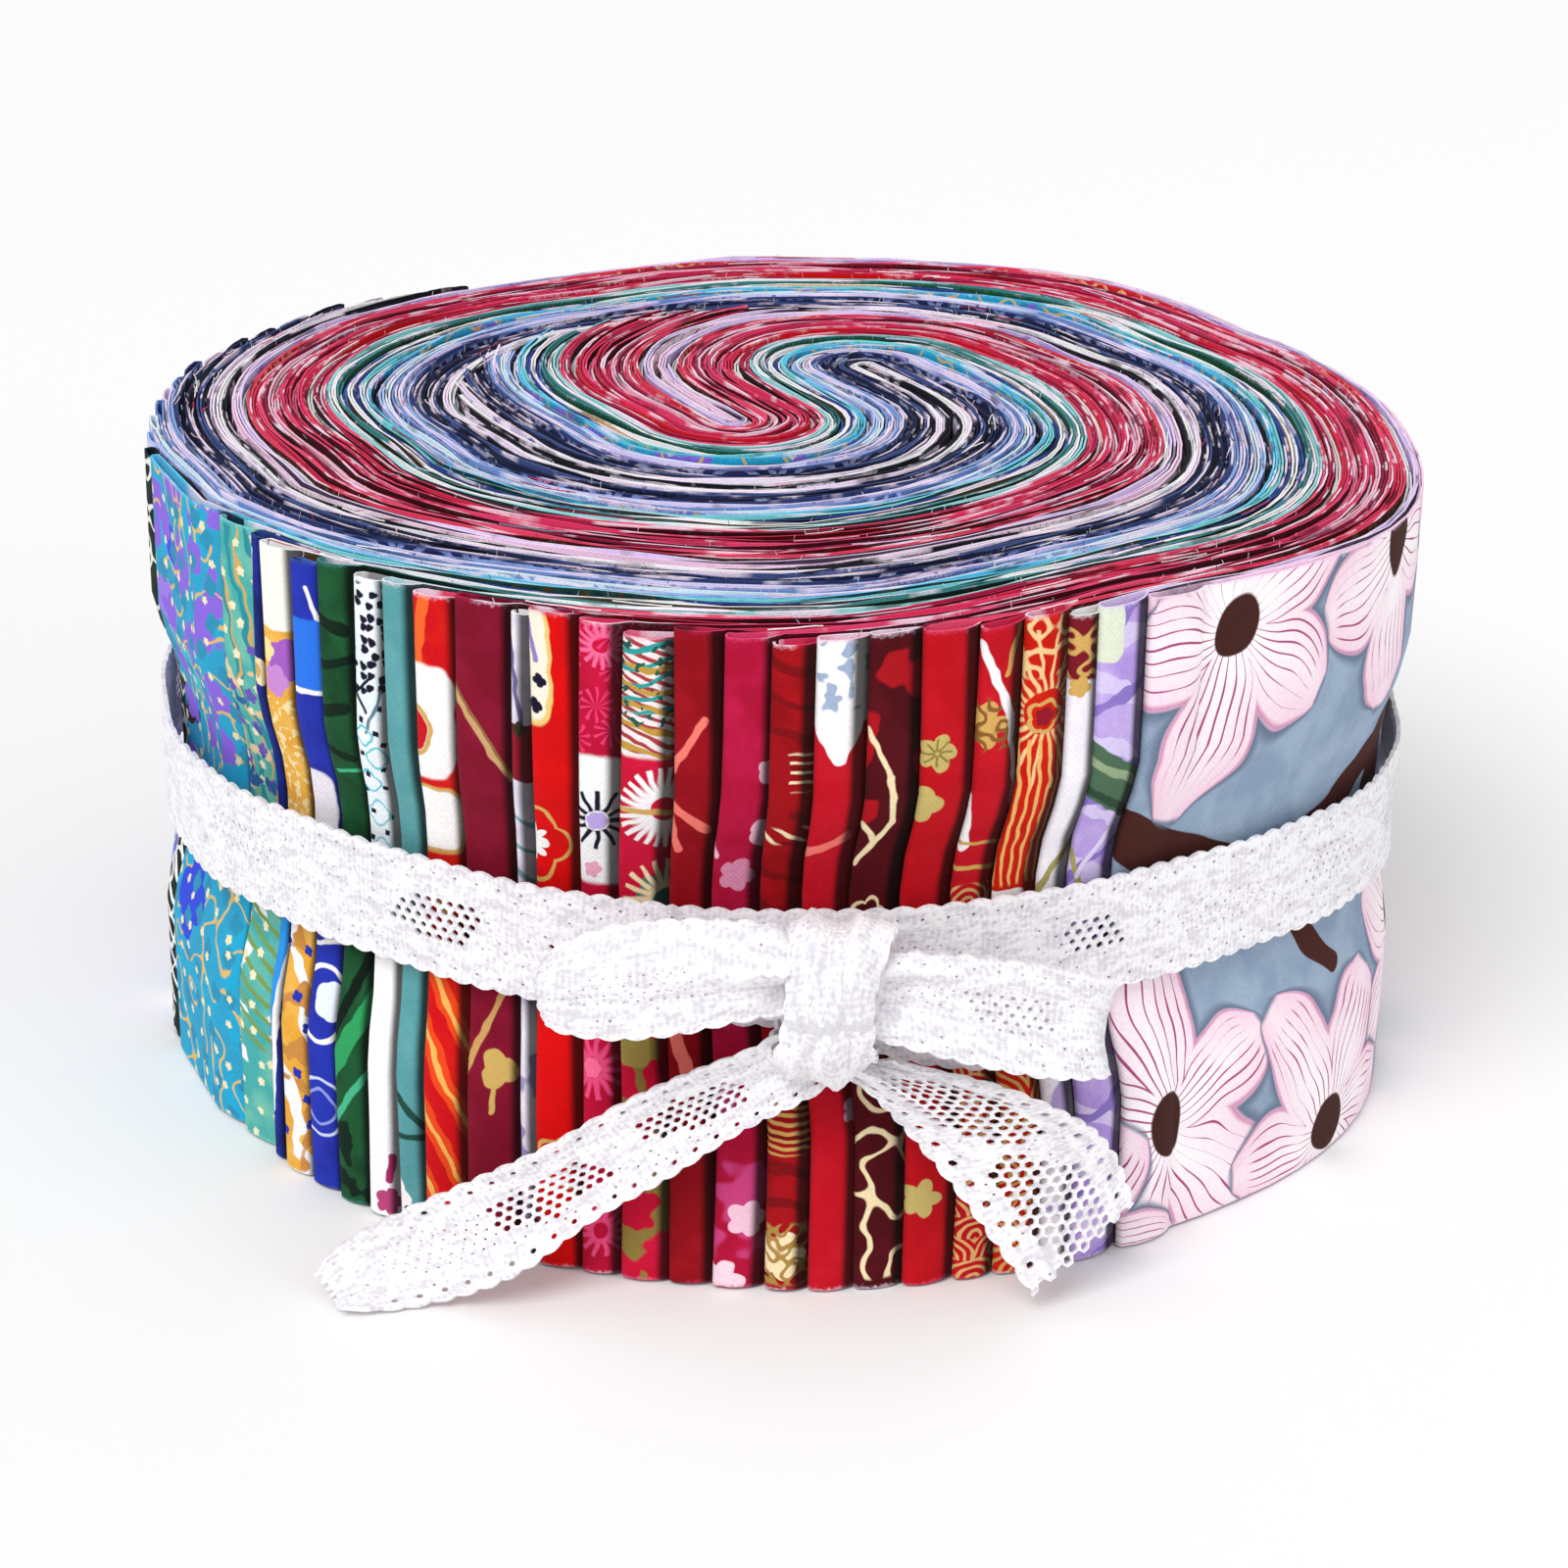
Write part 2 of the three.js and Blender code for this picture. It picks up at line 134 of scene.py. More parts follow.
# %% [markdown]
# ## How the strips are wound
#
# On a real roll the stack of strips is bent double at its raw ends and then wound up, which
# leaves an S in the middle. The inner face of the stack is a spiral round two pivots. A
# spiral can be drawn point by point, but then its layers don't stay parallel. So it is told
# by its reach: how far the line that touches it lies from the middle, for each direction.
# Adding an offset to the reach gives the next layer exactly, with no crossing.

# %% Sizes of the winding
strip_width = 63.5
strip_count = 40
ply_count = 2 * strip_count
stack_thickness = 22.0
stack_margin = 0.2  # left free between one round of the stack and the next
core_angle = math.radians(30)
straight_run = 11.3
across_core = np.array([math.cos(core_angle), math.sin(core_angle)])
along_core = np.array([across_core[1], -across_core[0]])
short_pivot = np.array([-5.5, -2.0])
long_pivot = short_pivot + stack_thickness * across_core - straight_run * along_core
wedge_turn = 120
fan_start = 625
shown_bands = [
    4.4, 2.7, 3.8, 3.5, 4.4, 4.2, 3.8, 3.4, 4.1, 3.8, 4.2, 3.5, 4.2,
    1.8, 5.1, 4.3, 3.2, 3.5, 4.1, 4.1, 4.2, 2.5, 6.0, 8.7, 5.3,
] + [5.1] * 14
fold_turns = fan_start + np.concatenate([[0], np.cumsum(shown_bands)])
rim_radii = [63.0, 63.2, 65.2, 65.0, 61.3, 64.2, 64.6, 64.8, 64.2, 64.8, 64.2, 65.4, 63.0]
rim_rises = [-0.3, -0.2, 1.0, 0.5, 0.0, 0.0, 0.2, 0.0, 0.2, -0.6, 0.9, 0.0, -0.3]
waist_height = 32.2
waist_depth = 2.0
print("folded ends from turn", fold_turns[0], "to", round(float(fold_turns[-1]), 1))


# %% The spiral
def facing_at(turn):
    angle = np.radians(210 - np.asarray(turn, float))
    return np.stack([np.cos(angle), np.sin(angle)], -1)


def inner_reach(turn):
    turn = np.asarray(turn, float)
    rounds = np.floor(turn / 360)
    part = turn - 360 * rounds
    facing = facing_at(part)
    reach = np.where(part < 180, facing @ long_pivot, facing @ short_pivot + stack_thickness)
    wedge = stack_thickness * (1 - smoothstep(part, 0, wedge_turn))
    return reach + rounds * stack_thickness + np.where(rounds >= 1, wedge, 0)


def winding_point(turn, offset):
    turn = np.asarray(turn, float)
    facing = facing_at(turn)
    sideways = np.stack([-facing[..., 1], facing[..., 0]], -1)
    slope = (inner_reach(turn + 0.5) - inner_reach(turn - 0.5)) / math.radians(1)
    return facing * (inner_reach(turn) + offset)[..., None] - sideways * slope[..., None]


# %% [markdown]
# The wound stack is a little oval. Hands and the ribbon press it into the shape that the
# photograph shows, so every point moves along its own radius until the rim fits a table of
# radii. The ribbon also pulls the waist in and drags the layers round a little. Points near
# the middle hardly move, and neighbours move alike, so the layers stay apart.

# %% Settling the layers into the rim's shape
def polar(points):
    angle = np.degrees(np.arctan2(points[..., 1], points[..., 0])) % 360
    return angle, np.hypot(points[..., 0], points[..., 1])


def rim_value(angle, column):
    place = (np.asarray(angle) % 360) / 30
    index = np.floor(place).astype(int)
    share = smoothstep(place - index, 0, 1)
    values = np.asarray(column)
    return values[index] * (1 - share) + values[index + 1] * share


def stack_left(turn):
    """Thickness of the stack at a turn: it thins where the strips end one by one."""
    ended = np.maximum(0, (turn - fan_start) / (fold_turns[-1] - fan_start))
    return stack_thickness * (1 - ended)


def plain_reach_table():
    last = fold_turns[-1]
    turns = np.arange(last - 360, last, 2)
    angle, radius = polar(winding_point(turns, stack_left(turns)))
    order = np.argsort(angle)
    return angle[order], radius[order]


plain_angle, plain_radius = plain_reach_table()


def waist_share(height):
    return 1 - smoothstep(np.abs(height - waist_height), 6.6, 17)


def settled(points, height):
    """Points in plan, at a height on the strip, moved to where the tied roll has them."""
    angle, radius = polar(points)
    reach = np.interp(angle, plain_angle, plain_radius, period=360)
    rim = rim_value(angle, rim_radii)
    radius = radius * (1 + (rim / reach - 1) * smoothstep(radius / reach, 0, 1))
    inward = smoothstep(radius / rim, 0.45, 1)
    radius = radius - waist_depth * waist_share(height) * inward
    ripple = np.sin(np.radians(3 * angle + 40)) + 0.6 * np.sin(np.radians(7 * angle) + radius / 9)
    radius = radius + 0.3 * ripple * np.sin(np.pi * np.clip(radius / rim, 0, 1)) ** 2
    angle = np.radians(angle - 0.9 * waist_share(height) * inward)
    lift = rim_value(np.degrees(angle), rim_rises) * np.interp(
        radius / rim, [0.33, 0.66, 0.92, 1.0], [0, 0.2, 0.8, 1.0])
    lift = lift * (height / strip_width) ** 4
    return np.stack([radius * np.cos(angle), radius * np.sin(angle), height + lift], -1)


# %% [markdown]
# Each strip is cut across the width of the cloth, about 1118 mm, and folded in half. Its two
# plies lie one on the other from the raw ends in the core to the fold outside. Real layers
# are never evenly spaced, so the share of the stack that each ply takes changes slowly along
# the way. The stations below are shared by all plies.

# %% Stations along the stack
rng = np.random.default_rng(11)


def spread(start, stop, step):
    count = max(1, int(round(abs(stop - start) / step)))
    return list(np.linspace(start, stop, count, endpoint=False))


def stack_stations():
    """Where the sections lie: a stretch of the path and the turn or share along it."""
    stations = [("wedge", b) for b in spread(wedge_turn, 0, 6)]
    stations += [("bridge", s) for s in spread(1, 0, 0.34)]
    stations += [("short", t) for t in spread(360, 180, 12)]
    stations += [("run", s) for s in spread(1, 0, 0.34)]
    stations += [("long", t) for t in spread(0, 179.5, 12)]
    for bend, end, step in ((180, 359.5, 6), (360, 539.5, 4), (540, 719.5, 4), (720, 792, 4)):
        turns = spread(bend - 0.5, bend + 0.5, 0.25) + spread(bend + 0.5, end, step)
        stations += [("wound", t) for t in turns]
    return stations


def station_points(stretch, value, offset):
    """Plan points of plies at their offsets from the inner face of the long arm."""
    rest = (stack_thickness - offset)[..., None]
    if stretch == "wedge":
        return long_pivot + (stack_thickness + rest) * facing_at(value)
    if stretch == "bridge":
        ahead = long_pivot + (stack_thickness + rest) * facing_at(0)
        return value * ahead + (1 - value) * (short_pivot + rest * facing_at(0))
    if stretch == "short":
        return short_pivot + rest * facing_at(value)
    if stretch == "run":
        return long_pivot - offset[..., None] * across_core + straight_run * value * along_core
    if stretch == "long":
        return long_pivot + offset[..., None] * facing_at(value)
    return winding_point(np.full(offset.shape, float(value)), offset)


stations = stack_stations()
station_place = np.arange(len(stations)) * 3.6


def ply_offsets():
    """Middle of each ply, from the outermost, at each station."""
    waves = sum(
        np.sin(station_place[:, None] / rng.uniform(6, 26, ply_count)
               + rng.uniform(0, 7, ply_count))
        for _ in range(3))
    weights = 1 + 0.2 * waves
    weights[:, 1::2] += 0.15 * rng.random(strip_count)
    total = np.sum(weights, axis=1, keepdims=True)
    middles = np.cumsum(weights, axis=1) / total - 0.5 * weights / total
    return stack_thickness - stack_margin - (stack_thickness - 2 * stack_margin) * middles


offsets = ply_offsets()
print(len(stations), "stations, offsets", offsets.min().round(2), "to", offsets.max().round(2))

# %% [markdown]
# ## One strip
#
# A strip could be a flat plane bent by modifiers, but its fold has to bulge like a real one:
# the outer ply rises from under its neighbour, swells and turns over in a soft nose. Each
# strip is therefore a closed sheet, 0.2 mm thick, made section by section along both plies.
# Where only its cut edges show, in the core, the sections need no rows in between.

# %% Sections of a strip
row_heights = np.array([0, 10, 15.5, 18.5, 22, 26, 38.5, 42, 45.5, 48.5, 54, strip_width])
cloth_thickness = 0.2
rim_mm_per_degree = 1.12


def wedge_end(offset):
    """Turn in the wedge where a ply at this offset runs out."""
    turns = np.linspace(wedge_turn, 0, 200)
    heights = stack_thickness * (1 - smoothstep(turns, 0, wedge_turn))
    return float(np.interp(stack_thickness - offset, heights, turns))


def ply_sections(ply, last_turn):
    """Settled middle line of a ply from its raw end up to a turn, and which are full rows."""
    raw_end = wedge_end(
        stack_thickness - stack_margin
        - (ply + 0.5) * (stack_thickness - 2 * stack_margin) / ply_count)
    lines, full = [], []
    for i, (stretch, value) in enumerate(stations):
        if stretch == "wedge" and value > raw_end:
            continue
        if stretch == "wound" and value > last_turn:
            break
        plan = station_points(stretch, value, offsets[i, ply:ply + 1])
        rows = np.repeat(plan, len(row_heights), axis=0)
        lines.append(settled(rows, row_heights))
        full.append(stretch == "wound" and value > 362)
    return lines, full


def fold_sections(strip):
    """The nose of the fold and the shown band behind it, from the inner ply outwards."""
    end = fold_turns[strip]
    nearest = np.argmin([abs(v - end) if s == "wound" else 999 for s, v in stations])
    inner, outer = offsets[nearest, 2 * strip + 1], offsets[nearest, 2 * strip]
    band = (shown_bands[strip - 1] if strip else 5.0) * rim_mm_per_degree
    swell = rng.uniform(0.95, 1.2) if strip < 26 else rng.uniform(0.35, 0.5)
    swell = swell * min(1, 5.2 / band) * (1 - 0.6 * waist_share(row_heights))
    lean = rng.uniform(-0.35, 0.35) * (row_heights / strip_width - 0.5)
    lean = lean + 0.12 * np.sin(row_heights / rng.uniform(6, 12) + rng.uniform(0, 6))
    lines = []
    for back in (2.0, 1.0, 0.4):
        turn = end + lean - back / rim_mm_per_degree
        lines.append(settled(winding_point(turn, np.full(turn.shape, inner)), row_heights))
    half = (outer + 0.78 * swell - inner) / 2
    for angle in np.radians([-80, -45, -10, 30, 65]):
        turn = end + lean + 0.9 * half * math.cos(angle) / rim_mm_per_degree
        offset = inner + half + half * math.sin(angle)
        lines.append(settled(winding_point(turn, offset), row_heights))
    tucked = [band - 0.7, band - 0.4, band - 0.18, band, band + 1.0, band + 2.0]
    for back in list(np.arange(0.3, band - 0.9, 0.7)) + tucked:
        share = min(back / band, 1.0)
        if share < 0.3:
            rise = 0.78 + 0.22 * math.sin(math.pi * share / 0.6)
        else:
            rise = 1 - ((share - 0.3) / 0.7) ** 2.6
        turn = end + lean - back / rim_mm_per_degree
        lines.append(settled(winding_point(turn, outer + rise * swell), row_heights))
    return lines, band


# %% A strip's mesh
def edge_wander(along, size):
    """Slow wandering of a cut edge, in waves of 14 to 70 mm."""
    waves = [np.sin(along / rng.uniform(2.2, 11) + rng.uniform(0, 6)) for _ in range(4)]
    return size * sum(waves) / 2 + rng.normal(0, 0.02, len(along))


def strip_mesh(strip, material):
    fold, band = fold_sections(strip)
    inner, inner_full = ply_sections(2 * strip + 1, fold_turns[strip] - 3.0)
    tucked_turn = fold_turns[strip] - (band + 2.6) / rim_mm_per_degree
    outer, outer_full = ply_sections(2 * strip, tucked_turn)
    lines = np.array(inner + fold + outer[::-1])
    full = inner_full + [True] * len(fold) + outer_full[::-1]
    count = len(lines)
    nose = len(inner) + 5
    steps = np.linalg.norm(np.diff(lines[:, 0, :2], axis=0), axis=1)
    along = np.concatenate([[0], np.cumsum(steps)])
    along = along - along[nose]
    sunk = rng.choice([0.0, 0.0, 0.0, -0.45]) if strip > 0 else 0.0
    lines[:, -1, 2] += rng.uniform(-0.15, 0.15) + sunk + edge_wander(along, 0.2)
    lines[:, 0, 2] += 0.15 + np.abs(edge_wander(along, 0.15))
    ahead = np.empty((count, len(row_heights), 2))
    ahead[1:-1] = lines[2:, :, :2] - lines[:-2, :, :2]
    ahead[0], ahead[-1] = lines[1, :, :2] - lines[0, :, :2], lines[-1, :, :2] - lines[-2, :, :2]
    ahead = unit(ahead)
    left = np.stack([-ahead[..., 1], ahead[..., 0], np.zeros(ahead.shape[:2])], -1)

    points, faces, uvs = [], [], []
    index = {}
    for s in range(count):
        rows = range(len(row_heights)) if full[s] else (0, len(row_heights) - 1)
        for side, sign in (("print", -1), ("back", 1)):
            for r in rows:
                index[s, side, r] = len(points)
                points.append(lines[s, r] + sign * cloth_thickness / 2 * left[s, r])

    def face(corners, tops):
        faces.append([index[c] for c in corners])
        uvs.extend((along[c[0]], top) for c, top in zip(corners, tops))

    def rows_of(s):
        return [r for r in range(len(row_heights)) if (s, "print", r) in index]

    top_row = len(row_heights) - 1
    for s in range(count - 1):
        a, b = s, s + 1
        rows = sorted(set(rows_of(a)) & set(rows_of(b)))
        for low, high in zip(rows, rows[1:]):
            up_b = [r for r in rows_of(b) if low <= r <= high]
            down_a = [r for r in rows_of(a) if low <= r <= high][::-1]
            ring = [(b, r) for r in up_b] + [(a, r) for r in down_a]
            heights = [row_heights[r] for _, r in ring]
            face([(k, "print", r) for k, r in ring], heights)
            face([(k, "back", r) for k, r in ring[::-1]], [h + 100 for h in heights[::-1]])
        for row, near, far, tops in (
                (top_row, "print", "back", [64.0, 64.0, 64.2, 64.2]),
                (0, "back", "print", [-0.7, -0.7, -0.5, -0.5])):
            face([(a, near, row), (b, near, row), (b, far, row), (a, far, row)], tops)
    for s, order in ((0, 1), (count - 1, -1)):
        rows = rows_of(s)
        for low, high in zip(rows, rows[1:]):
            ring = [(s, "print", low), (s, "print", high), (s, "back", high), (s, "back", low)]
            face(ring[::order], [64.1] * 4)
    name = f"strip_{strip + 1:02d}"
    piece = made_piece(name, points, faces, uvs, material, sharp=50)
    return piece, along[-1] - along[0]

# %% [markdown]
# ## Printed quilting cotton
#
# Quilting cotton is a plain weave of about 30 threads to the centimetre, printed on its right
# side. It is matt: its roughness is high, loose fibres give it a trace of sheen, and threads
# shade one another, so it mirrors less than its index of refraction alone would say. At the
# size of a render single threads are finer than a pixel, so the weave is drawn with threads
# 0.5 mm apart. Prints could be pictures, but a picture would fix their size and their detail.
# Here each print is a ground colour with marks laid over it, and each mark is a small piece
# of arithmetic on the cloth's own coordinates, in millimetres: the distance from the folded
# end, and the height above the table.

# %% Masks for the marks of a print
def soft_below(field, limit, blur=0.08):
    return add("MapRange SMOOTHSTEP", field, limit - blur, limit + blur, 1.0, 0.0)


def away_from(field, value):
    return add("Math ABSOLUTE", add("Math SUBTRACT", field, value))


def both(first, second):
    return add("Math MULTIPLY", first, second)


def between_heights(cloth, mask, low, high):
    height = add("SeparateXYZ", cloth, out=1)
    away = away_from(height, (low + high) / 2)
    return both(mask, soft_below(away, (high - low) / 2, 0.2))


def petal_wave(local, petals, turned):
    """Distance from a blossom's middle, and a wave round it that is one along each petal."""
    across = add("SeparateXYZ", local)
    angle = add("Math ARCTAN2", across.node.outputs[1], across)
    phase = add("Math MULTIPLY_ADD", angle, petals / 2, turned)
    wave = add("Math COSINE", phase)
    wave = add("Math ABSOLUTE", wave)
    return add("VectorMath LENGTH", local), wave


def petal_field(local, petals, notch, turned=0.0):
    """A field that is one on the petalled edge of a blossom of radius one."""
    distance, wave = petal_wave(local, petals, turned)
    edge = add("Math MULTIPLY_ADD", wave, notch, 1 - notch)
    return add("Math DIVIDE", distance, edge)


def placed(cloth, along, height, size):
    moved = add("VectorMath ADD", cloth, (-along, -height, 0))
    return add("VectorMath SCALE", moved, 1 / size)


def scattered(cloth, pitch, seed, order=0.6):
    """Local coordinates round loosely ordered points, in units of the pitch."""
    grid = add("VectorMath ADD", cloth, (seed * 7.3, seed * 3.1, 0))
    grid = add("VectorMath SCALE", grid, 1 / pitch)
    cell = add("TexVoronoi 2D", grid, 1.0, 0.0, 0.5, 2.0, order, out=2)
    return add("VectorMath SUBTRACT", grid, cell)


# %% Kinds of mark
def bloom(cloth, along, height, size, petals, notch):
    local = placed(cloth, along, height, size)
    return soft_below(petal_field(local, petals, notch), 1.0, 0.08 / size)


def outline(cloth, along, height, size, petals, notch, width):
    field = petal_field(placed(cloth, along, height, size), petals, notch)
    return soft_below(away_from(field, 1.0), width / 2 / size, 0.06 / size)


def rays(cloth, along, height, start, stop, count, width, turned=0.0):
    local = placed(cloth, along, height, 1.0)
    distance, wave = petal_wave(local, count, turned + math.pi / 2)
    aside = add("Math MULTIPLY", wave, distance)
    ray = soft_below(aside, width / 2 * count / 2, 0.06 * count / 2)
    away = away_from(distance, (start + stop) / 2)
    return both(ray, soft_below(away, (stop - start) / 2))


def stroke(cloth, along, height, along_end, height_end, width):
    run = np.array([along_end - along, height_end - height])
    start = add("VectorMath ADD", cloth, (-along, -height, 0))
    share = add("VectorMath DOT_PRODUCT", start, (*(run / (run @ run)), 0))
    share = add("Math ADD", share, 0.0, use_clamp=True)
    nearest = add("VectorMath SCALE", (*run, 0), share)
    away = add("VectorMath DISTANCE", start, nearest)
    return soft_below(away, width / 2)


def block(cloth, along, height, along_end, height_end):
    half = ((along_end - along) / 2, (height_end - height) / 2)
    local = placed(cloth, along + half[0], height + half[1], 1.0)
    local = add("VectorMath MULTIPLY", local, (1 / half[0], 1 / half[1], 0))
    fourth = add("VectorMath MULTIPLY", local, local)
    return soft_below(add("VectorMath LENGTH", fourth), 1.0, 0.08)


def stripes(cloth, angle, pitch, share, wobble, low=0, high=strip_width):
    way = (math.cos(math.radians(angle)) / pitch, math.sin(math.radians(angle)) / pitch, 0)
    place = add("VectorMath DOT_PRODUCT", cloth, way)
    sway = add("TexNoise 2D", cloth, 0.25, 1.0)
    place = add("Math MULTIPLY_ADD", sway, wobble, place)
    back = add("Math PINGPONG", place, 0.5)
    stripe = soft_below(back, share / 2, 0.06 / pitch)
    return between_heights(cloth, stripe, low, high)


def scrolls(cloth, pitch, width, seed, low=0, high=strip_width):
    moved = add("VectorMath ADD", cloth, (seed * 11.0, seed * 5.0, 0))
    hills = add("TexNoise 2D", moved, 1 / pitch, 0.0)
    line = soft_below(away_from(hills, 0.5), width / pitch, 0.05 / pitch)
    return between_heights(cloth, line, low, high)


def blotches(cloth, pitch, limit, seed, low=0, high=strip_width):
    moved = add("VectorMath ADD", cloth, (seed * 13.0, seed * 9.0, 0))
    hills = add("TexNoise 2D", moved, 1 / pitch, 1.0)
    return between_heights(cloth, soft_below(hills, limit, 0.03), low, high)


def blooms(cloth, pitch, size, petals, notch, seed, low=0, high=strip_width):
    field = petal_field(scattered(cloth, pitch, seed), petals, notch, seed)
    mask = soft_below(field, size / pitch, 0.08 / pitch)
    return between_heights(cloth, mask, low, high)


def asters(cloth, pitch, size, count, width, seed, low=0, high=strip_width):
    distance, wave = petal_wave(scattered(cloth, pitch, seed), count, seed)
    star = both(soft_below(wave, width, 0.2), soft_below(distance, size / pitch, 0.02))
    return between_heights(cloth, star, low, high)


def fans(cloth, pitch, ring, seed, low=0, high=strip_width):
    """Rows of arcs, one row shifted by half on the next."""
    grid = placed(cloth, seed, seed, pitch)
    column = add("SeparateXYZ", grid)
    row = add("Math MULTIPLY", column.node.outputs[1], 2.0)
    shift = add("Math MULTIPLY_ADD", add("Math FLOOR", row), 0.5, column)
    left = add("Math SUBTRACT", add("Math FRACT", shift), 0.5)
    up = add("Math MULTIPLY", add("Math FRACT", row), 0.5)
    distance = add("VectorMath LENGTH", add("CombineXYZ", left, up))
    rings = add("Math PINGPONG", add("Math MULTIPLY", distance, pitch / ring), 0.5)
    return between_heights(cloth, soft_below(rings, 0.2, 0.05), low, high)


kinds = {kind.__name__: kind for kind in (
    bloom, outline, rays, stroke, block, stripes, scrolls, blotches, blooms, asters, fans)}
print("kinds of mark:", *kinds)

# %% [markdown]
# ## The forty prints
#
# The table below gives each strip, from the outermost inwards. A strip starts at the margin
# with three colours: its ground, a second shade that the ground wanders to, and its cut edge.
# Its marks follow, each with its kind, its colour and its numbers, mostly millimetres on the
# cloth. A comma starts one more mark of the same kind and colour. The outermost print is the
# only one seen large, so it gets open blossoms of its own further down. Strips 27 to 40 show
# at the back and on top.

# %% Reading a table of prints
named_colours = {
    "gold": "#d2a75c",
    "cream": "#f2dfb4",
    "white": "#f6f3f4",
    "salmon": "#f07a6e",
    "pink": "#f3bfd6",
    "ink": "#17132b",
}


def hex_of(word):
    return named_colours.get(word, "#" + word)


def read_prints(text):
    """Each strip's ground, second shade, cut edge and list of marks, in their order."""
    table = []
    for line in text.strip().replace("\n ", " ").split("\n"):
        shades, *groups = line.split(";")
        marks = []
        for group in groups:
            kind, colour, rest = group.split(None, 2)
            for numbers in rest.split(","):
                marks.append((kinds[kind], hex_of(colour), [float(n) for n in numbers.split()]))
        table.append((*(hex_of(word) for word in shades.split()), marks))
    return table


